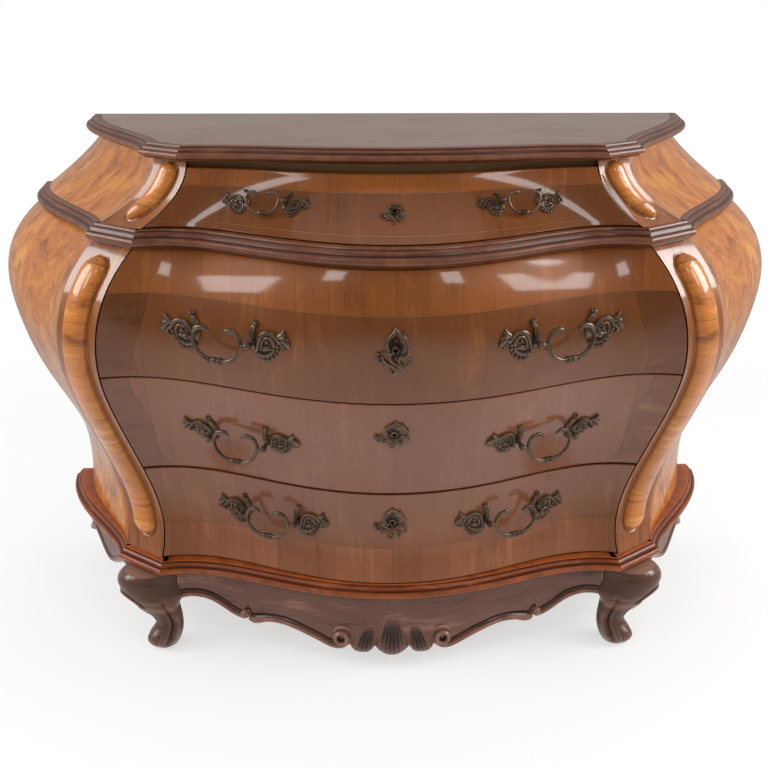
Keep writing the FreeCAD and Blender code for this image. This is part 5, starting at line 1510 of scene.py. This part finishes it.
class CHEST_PG_carving(bpy.types.PropertyGroup):
    """Legs, aprons and their carving."""
    shell_ribs: IntProperty(name="Shell ribs", description="Ribs in the middle lobe of the shell", default=7,
                            min=3, max=15)
    shell_rise: length("Shell rise", "How far the shell stands off the apron", 0.006)
    # The dark colours also paint the hollows of the carving and the legs darker as painted shade; the light
    # colours paint their ridges lighter as a painted highlight with rubbing.
    dark: tint("Dark", "Hollows of the carved wood", 50, 29, 22)
    middle: tint("Middle", "Ground of the carved wood", 106, 66, 52)
    light: tint("Light", "Rubbed ridges of the carved wood", 150, 106, 88)
    leg_dark: tint("Legs, dark", "Hollows of the legs", 42, 26, 21)
    leg_middle: tint("Legs", "Ground of the legs", 88, 57, 45)
    leg_light: tint("Legs, light", "Rubbed ridges of the legs", 142, 104, 88)


class CHEST_PG_metal(bpy.types.PropertyGroup):
    """Handles, keyhole plates and locks."""
    bronze: tint("Bronze", "Brown bronze of the castings", 56, 42, 33)
    bronze_dark: tint("Bronze, dark", "Dark patches of the castings", 33, 24, 19)
    # Rubbed ridges, and the painted highlight on ridges and pearl tops.
    bronze_rubbed_and_highlit: tint("Bronze, rubbed", "Ridges rubbed by hands", 120, 100, 84)
    iron: tint("Iron", "Lock cases and bolts", 120, 118, 114)
    iron_rust: tint("Iron, rusty", "Spots on the locks", 92, 68, 54)


class CHEST_PG_inside(bpy.types.PropertyGroup):
    """The top board, and the plain wood inside and behind."""
    top_dark: tint("Top, dark", "Dark streaks of the top", 92, 54, 32)
    top_middle: tint("Top", "Ground of the top", 134, 86, 56)
    top_light: tint("Top, light", "Pale streaks of the top", 160, 112, 80)
    plain_dark: tint("Plain wood, dark", "Dark streaks of the inside wood", 116, 84, 54)
    plain_middle: tint("Plain wood", "Ground of the inside wood", 158, 120, 80)
    plain_light: tint("Plain wood, light", "Pale streaks of the inside wood", 186, 150, 108)


class CHEST_PG_stage(bpy.types.PropertyGroup):
    """Camera, lights and floor."""
    camera_place: FloatVectorProperty(name="Camera place", description="Where the camera stands", size=3,
                                      subtype="XYZ", unit="LENGTH", default=(-0.0461, -1.80995, 1.0697))
    yaw: FloatProperty(name="Yaw", description="Turn of the camera to the right", default=radians(1.03),
                       subtype="ANGLE")
    pitch: FloatProperty(name="Pitch", description="Tilt of the camera downwards", default=radians(19.13),
                         subtype="ANGLE")
    lens: amount("Lens", "Focal length in millimetres", 52.96)
    shift: FloatProperty(name="Shift", description="Sideways shift of the picture", default=0.0026)
    window_power: amount("Window light", "Power of each of the two large lights", 21.0, subtype="POWER")
    strip_power: amount("Strip light", "Power of each of the two narrow side lights", 4.2, subtype="POWER")
    front_power: amount("Front light", "Power of each of the two small front lights", 5.5, subtype="POWER")
    fill_power: amount("Fill light", "Power of the soft light overhead", 7.0, subtype="POWER")
    ambient: amount("Ambient", "Brightness of the white room around", 0.62)
    mirrored_room: amount("Mirrored room", "Brightness of the room in reflections", 0.12)
    floor: tint("Floor", "Colour of the floor", 246, 246, 246)


GROUPS = {
    "chest_fronts": CHEST_PG_fronts, "chest_sides": CHEST_PG_sides, "chest_mouldings": CHEST_PG_mouldings,
    "chest_carving": CHEST_PG_carving, "chest_metal": CHEST_PG_metal, "chest_inside": CHEST_PG_inside,
    "chest_stage": CHEST_PG_stage,
}


# ---------------------------------------------------------------- pieces
class ChestOperator:
    """Shared behaviour of the operators: each adds its pieces at the chest's place."""
    bl_options = {"REGISTER", "UNDO"}

    def execute(self, context):
        self.build(context.scene)
        return {"FINISHED"}


class CHEST_OT_fronts(ChestOperator, bpy.types.Operator):
    """Add the four bowed drawer fronts: columns of the serpentine surface from end to end, closed
    by a parallel back, with rubbed arrises, blind keyholes and veneers laid in panels"""
    bl_idname = "chest.fronts"
    bl_label = "Drawer fronts"

    def build(self, scene):
        settings = scene.chest_fronts
        for number, low, high in DRAWERS:
            skin = drawer_front(number, low, high, settings.arris / MM, settings.keyhole_depth / MM)
            piece(f"drawer_{number}_veneered_front", [skin], f"drawer_{number}",
                  front_finish(number, settings, 1.7 * number), (f"drawer_{number}_front",))


class CHEST_OT_sides(ChestOperator, bpy.types.Operator):
    """Add the swelling sides and the hollow ones above them: the ogee of the plan carried up the
    body, closed by an inner face"""
    bl_idname = "chest.sides"
    bl_label = "Side panels"

    def build(self, scene):
        s = scene.chest_sides
        finish = veneer("walnut_burr", palette_of(s, "burr_"), 5.0, 0.27, 1.15, eyes=0.55)
        for name, low, high, node in (("swelling_sides", BASE_TOP, WAIST_LOW, "side_panels"),
                                      ("hollow_sides", WAIST_TOP, NECK_TOP, "upper_side_panels")):
            sides = both([side_skin(low, high, s.arris / MM, SEAM)])
            piece(name, sides, "carcass", finish, (node,))


class CHEST_OT_corners(ChestOperator, bpy.types.Operator):
    """Add the canted corner posts, grooved round their bolsters, and the bolsters: long pads whose
    arched section narrows along a circle at both ends"""
    bl_idname = "chest.corners"
    bl_label = "Corner posts and bolsters"

    def build(self, scene):
        s = scene.chest_sides
        post = veneer("walnut_posts", palette_of(s, "post_"), 2.0, 0.5)
        pad = veneer("walnut_bolsters", palette_of(s, "pad_"), 8.0, 0.085, 1.1, across=True)
        groove = s.groove / MM
        for word, low, high, pad_low, pad_high, half, rise in (
            ("", BASE_TOP, WAIST_LOW, 185.0, 692.0, 24.0, s.pad_rise / MM),
            ("upper_", WAIST_TOP, NECK_TOP, 747.0, 832.0, 17.0, s.small_pad_rise / MM),
        ):
            posts = both([post_skin(low, high, (pad_low, pad_high, half), groove, groove)])
            piece(f"{word}canted_posts", posts, "carcass", post, (f"{word}corner_posts",))
            pads = both([bolster_skin(pad_low, pad_high, half, rise)])
            piece(f"{word}bolsters", pads, "carcass", pad, (f"{word}corner_bolsters",))


# Mortise of drawer 2's lock bolt in the waist ring: half length, front wall, rear wall, depth
BOLT_MORTISE = (11.9, 33.2, 39.9, 8.8)


class CHEST_OT_mouldings(ChestOperator, bpy.types.Operator):
    """Add the three rings: a section of fillet, hollow and rounded nose carried along the front,
    the cants and the sides in five mitred lengths each"""
    bl_idname = "chest.mouldings"
    bl_label = "Rings of moulding"

    def build(self, scene):
        s = scene.chest_mouldings
        usual = moulding_finish("walnut_mouldings", palette_of(s))
        base = moulding_finish("walnut_base_ring", palette_of(s, "base_"))
        for name, plan, low, height, overhang, inset, mortise, finish, node in (
            ("top_ring", TOP_RING, NECK_TOP, 22.0, s.top_overhang, 12.0, None, usual, "top_edge_moulding"),
            ("waist_ring", WAIST_RING, WAIST_LOW, 28.0, s.waist_overhang, 60.0, BOLT_MORTISE, usual,
             "waist_moulding"),
            ("base_ring", BASE_RING, LEG_TOP, 26.0, s.base_overhang, 60.0, None, base, "base_moulding"),
        ):
            lengths = ring(plan, low, height, overhang / MM, inset, mortise)
            piece(name, lengths, "carcass", finish, (node,))


# How dark the hollows of the carved wood are painted: painted shade with some dirt.
CARVED_SHADE_AND_DIRT = 0.35


def carved_finish(scene):
    """The carved walnut, made once for the aprons and their ornament."""
    found = bpy.data.materials.get("carved_board_finish")
    palette = palette_of(scene.chest_carving)
    return found or moulding_finish("carved_board_finish", palette, CARVED_LOOK, CARVED_SHADE_AND_DIRT)


class CHEST_OT_legs(ChestOperator, bpy.types.Operator):
    """Add the legs: rings up a cabriole curve, the front ones with a scroll on the knee, a bead
    down the inner edge and a lobed foot, all as changes of the rings' radius"""
    bl_idname = "chest.legs"
    bl_label = "Legs"

    def build(self, scene):
        palette = palette_of(scene.chest_carving, "leg_")
        finish = moulding_finish("walnut_legs", palette, CARVED_LOOK, CARVED_SHADE_AND_DIRT)
        for name, curve, carved, node in (("carved_front_legs", FRONT_LEG, True, "front_legs"),
                                          ("plain_rear_legs", REAR_LEG, False, "rear_legs")):
            legs = both([leg_skin(curve, carved)])
            piece(name, legs, "carcass", finish, (node,))


class CHEST_OT_aprons(ChestOperator, bpy.types.Operator):
    """Add the front and side aprons: columns from a wavy lower edge up to the ring, with a bead
    along the edge and a hollow above it"""
    bl_idname = "chest.aprons"
    bl_label = "Aprons"

    def build(self, scene):
        finish = carved_finish(scene)
        for name, skins, node in (("front_apron_board", [front_apron()], "front_apron"),
                                  ("side_apron_boards", both([side_apron()]), "side_aprons")):
            piece(name, skins, "carcass", finish, (node,))


class CHEST_OT_carvings(ChestOperator, bpy.types.Operator):
    """Add the carving of the front apron: three ribbed lobes of a shell, hollow-eyed scrolls, round
    knobs and leaf tips"""
    bl_idname = "chest.carvings"
    bl_label = "Apron carvings"

    def build(self, scene):
        s = scene.chest_carving
        rise = s.shell_rise / MM
        lobes = [shell_lobe(-29.0, 29.0, 92.0, s.shell_ribs, rise, 0.0)]
        lobes += both([shell_lobe(29.5, 69.0, 78.0, max(3, s.shell_ribs - 2), rise - 1.0, -14.0)])
        piece("apron_shell_and_scrolls", lobes + both(scroll_carvings()), "carcass", carved_finish(scene),
              ("apron_carvings",))


CAST_CREASE = 50.0


class CHEST_OT_handles(ChestOperator, bpy.types.Operator):
    """Add the handles: cast plates of tapering ribs and petals swept over the bowed fronts, and
    bails swept round their loops with curled tips and a knop"""
    bl_idname = "chest.handles"
    bl_label = "Handles"

    def build(self, scene):
        finish = bronze_finish(scene)
        for number in HANDLES:
            drawer, loop = f"drawer_{number}", bail(number)
            for name, skins, body, node in (
                ("cast_plates", both(handle_plates(number)), drawer, "handle_plates"),
                ("right_bail", loop, f"bail_{number}_right", "bail_right"),
                ("left_bail", [mirrored(skin) for skin in loop], f"bail_{number}_left", "bail_left"),
            ):
                piece(f"{drawer}_{name}", skins, body, finish, (f"{drawer}_{node}",), CAST_CREASE)


class CHEST_OT_keyhole_plates(ChestOperator, bpy.types.Operator):
    """Add the keyhole plates: a pierced ground with C and S scrolls and leaf tips swept over it"""
    bl_idname = "chest.keyhole_plates"
    bl_label = "Keyhole plates"

    def build(self, scene):
        for number in ESCUTCHEONS:
            drawer = f"drawer_{number}"
            piece(f"{drawer}_keyhole_plate", escutcheon(number), drawer, bronze_finish(scene),
                  (f"{drawer}_escutcheon",), CAST_CREASE)


class CHEST_OT_boards(ChestOperator, bpy.types.Operator):
    """Finish the parts that keep their plain solids: top, boards, drawer boxes, back and locks"""
    bl_idname = "chest.boards"
    bl_label = "Top, boards and locks"

    def build(self, scene):
        inside = palette_of(scene.chest_inside, "plain_")
        top = solid_wood("walnut_top", palette_of(scene.chest_inside, "top_"), "x", LOOK, 1.0, 6.0)
        level = solid_wood("inside_wood", inside, "x", DULL_LOOK, 0.9, 2.0)
        upright = solid_wood("inside_wood_upright", inside, "z", DULL_LOOK, 0.9, 4.0)
        deep = solid_wood("inside_wood_deep", inside, "y", DULL_LOOK, 0.9, 3.0)
        iron = iron_finish(scene.chest_metal)
        finishes = {"top_panel": top, "rear_posts": upright, "back_panel": upright, "drawer_guides": deep}
        for name in ("top_rail", "divider_upper", "divider_middle", "divider_lower", "bottom_board"):
            finishes[name] = level
        for number in HANDLES:
            finishes.update({f"drawer_{number}_box": deep, f"drawer_{number}_bottom": level,
                             f"drawer_{number}_lock_case": iron, f"drawer_{number}_lock_bolt": iron})
        for name, finish in finishes.items():
            mesh = frame["nodes"][name].data
            mesh.materials.clear()
            mesh.materials.append(finish)


def stood(scene, name, data, place, ahead):
    """New camera or light at a place, looking ahead."""
    thing = bpy.data.objects.new(name, data)
    scene.collection.objects.link(thing)
    thing.location = place
    thing.rotation_mode = "QUATERNION"
    thing.rotation_quaternion = ahead.to_track_quat("-Z", "Y")
    return thing


# How much brighter the right window is than the left one
WINDOW_BALANCE = 1.4
FLOOR_REACH = 9.0


class CHEST_OT_stage(ChestOperator, bpy.types.Operator):
    """Add the stage: camera, two window-like lights, two narrow side lights, two small front lights,
    an overhead fill, a pale floor that fades into the white of the room, and the room's own light"""
    bl_idname = "chest.stage"
    bl_label = "Stage"

    def build(self, scene):
        s = scene.chest_stage
        lens = bpy.data.cameras.new("camera")
        lens.sensor_width, lens.lens, lens.shift_x = 36.0, s.lens, s.shift
        lens.clip_start, lens.clip_end = 0.05, 60.0
        ahead = Vector((sin(s.yaw) * cos(s.pitch), cos(s.yaw) * cos(s.pitch), -sin(s.pitch)))
        scene.camera = stood(scene, "camera", lens, s.camera_place, ahead)
        for name, place, target, size, power in (
            ("window_left", (-2.2, 0.0, 1.35), (-0.3, 0.0, 0.62), (0.9, 1.0), s.window_power),
            ("window_right", (2.2, 0.0, 1.35), (0.3, 0.0, 0.62), (0.9, 1.0), WINDOW_BALANCE * s.window_power),
            ("strip_left", (-2.2, -0.92, 1.38), (-0.2, -0.2, 0.67), (0.35, 0.5), s.strip_power),
            ("strip_right", (2.2, -0.92, 1.38), (0.2, -0.2, 0.67), (0.35, 0.5), s.strip_power),
            ("front_left", (-1.5, -1.87, 1.85), (-0.2, -0.2, 0.8), (0.5, 0.45), s.front_power),
            ("front_right", (1.5, -1.87, 1.7), (0.2, -0.2, 0.8), (0.5, 0.45), s.front_power),
            ("overhead", (0.0, -0.2, 3.0), (0.0, 0.0, 0.4), (2.6, 2.0), s.fill_power),
        ):
            lamp = bpy.data.lights.new(name, "AREA")
            lamp.shape, (lamp.size, lamp.size_y), lamp.energy = "RECTANGLE", size, power
            stood(scene, name, lamp, place, Vector(target) - Vector(place))
        mesh = bpy.data.meshes.new("floor")
        corners = [(x * FLOOR_REACH, y * FLOOR_REACH, 0.0) for x, y in ((-1, -1), (1, -1), (1, 1), (-1, 1))]
        mesh.from_pydata(corners, [], [(0, 1, 2, 3)])
        mesh.materials.append(floor_finish(s))
        floor = bpy.data.objects.new("floor", mesh)
        scene.collection.objects.link(floor)
        room(scene, s.ambient, s.mirrored_room)


def floor_finish(settings):
    """Pale matt floor that fades, away from the chest, into the white of the room."""
    made, n, shader = material("pale_floor")
    squeezed = n.vector("MULTIPLY", object_place(n), (0.6, 1.0, 0.0))
    away = n.make("ShaderNodeVectorMath", {0: squeezed}, "Value", operation="LENGTH")
    speck = n.noise(object_place(n), 6.0, 3.0)
    colour = n.mix(n.math("MULTIPLY", speck, 0.02), linear(settings.floor), linear(settings.floor, 0.9))
    n.feed(shader, {"Base Color": colour, "Roughness": 0.9, "Specular IOR Level": 0.1,
                    "Alpha": n.step(away, 1.75, 0.80, 0.0, 0.4)})
    return made


def room(scene, ambient, mirrored_room):
    """White surroundings: full white where the camera or a clear floor sees them, dim in
    reflections except for the back wall and the floor, and a softer light on everything else."""
    world = bpy.data.worlds.new("white_room")
    world.use_nodes = True
    n = Nodes(world.node_tree)
    path = n.make("ShaderNodeLightPath", (), None).outputs
    seen = n.math("MAXIMUM", path["Is Camera Ray"], path["Is Transmission Ray"])
    strength = n.math("ADD", ambient, n.math("MULTIPLY", seen, 1.0 - ambient))
    _, depth, height = n.split(n.make("ShaderNodeTexCoord", (), "Generated"))
    back_wall, floor = n.step(depth, 0.1, 0.7, mirrored_room, 0.36), n.step(height, -0.25, -0.65, 0.0, 0.9)
    strength = n.mix(path["Is Glossy Ray"], strength, n.math("MAXIMUM", back_wall, floor))
    n.feed(world.node_tree.nodes["Background"], {"Color": (1.0, 1.0, 1.0, 1.0), "Strength": strength})
    scene.world = world
    scene.view_settings.view_transform = "Standard"


# ---------------------------------------------------------------- panel and start
OPERATORS = (
    CHEST_OT_fronts, CHEST_OT_sides, CHEST_OT_corners, CHEST_OT_mouldings, CHEST_OT_legs, CHEST_OT_aprons,
    CHEST_OT_carvings, CHEST_OT_handles, CHEST_OT_keyhole_plates, CHEST_OT_boards, CHEST_OT_stage,
)


class CHEST_PT_panel(bpy.types.Panel):
    """Buttons and settings of the chest"""
    bl_idname = "CHEST_PT_panel"
    bl_label = "Bombe chest"
    bl_space_type = "VIEW_3D"
    bl_region_type = "UI"
    bl_category = "Chest"

    def draw(self, context):
        for operator in OPERATORS:
            self.layout.operator(operator.bl_idname)
        for name in GROUPS:
            box = self.layout.box()
            group = getattr(context.scene, name)
            for key in group.__annotations__:
                box.prop(group, key)


CLASSES = (*GROUPS.values(), *OPERATORS, CHEST_PT_panel)


def register():
    """Add the chest's classes and settings."""
    for cls in CLASSES:
        bpy.utils.register_class(cls)
    for name, group in GROUPS.items():
        setattr(bpy.types.Scene, name, PointerProperty(type=group))


def unregister():
    """Take the chest's settings and classes away."""
    for name in GROUPS:
        delattr(bpy.types.Scene, name)
    for cls in reversed(CLASSES):
        bpy.utils.unregister_class(cls)


def main():
    """Build the chest and its stage."""
    register()
    for operator in OPERATORS:
        group, name = operator.bl_idname.split(".")
        getattr(getattr(bpy.ops, group), name)()


if __name__ == "__main__":
    main()
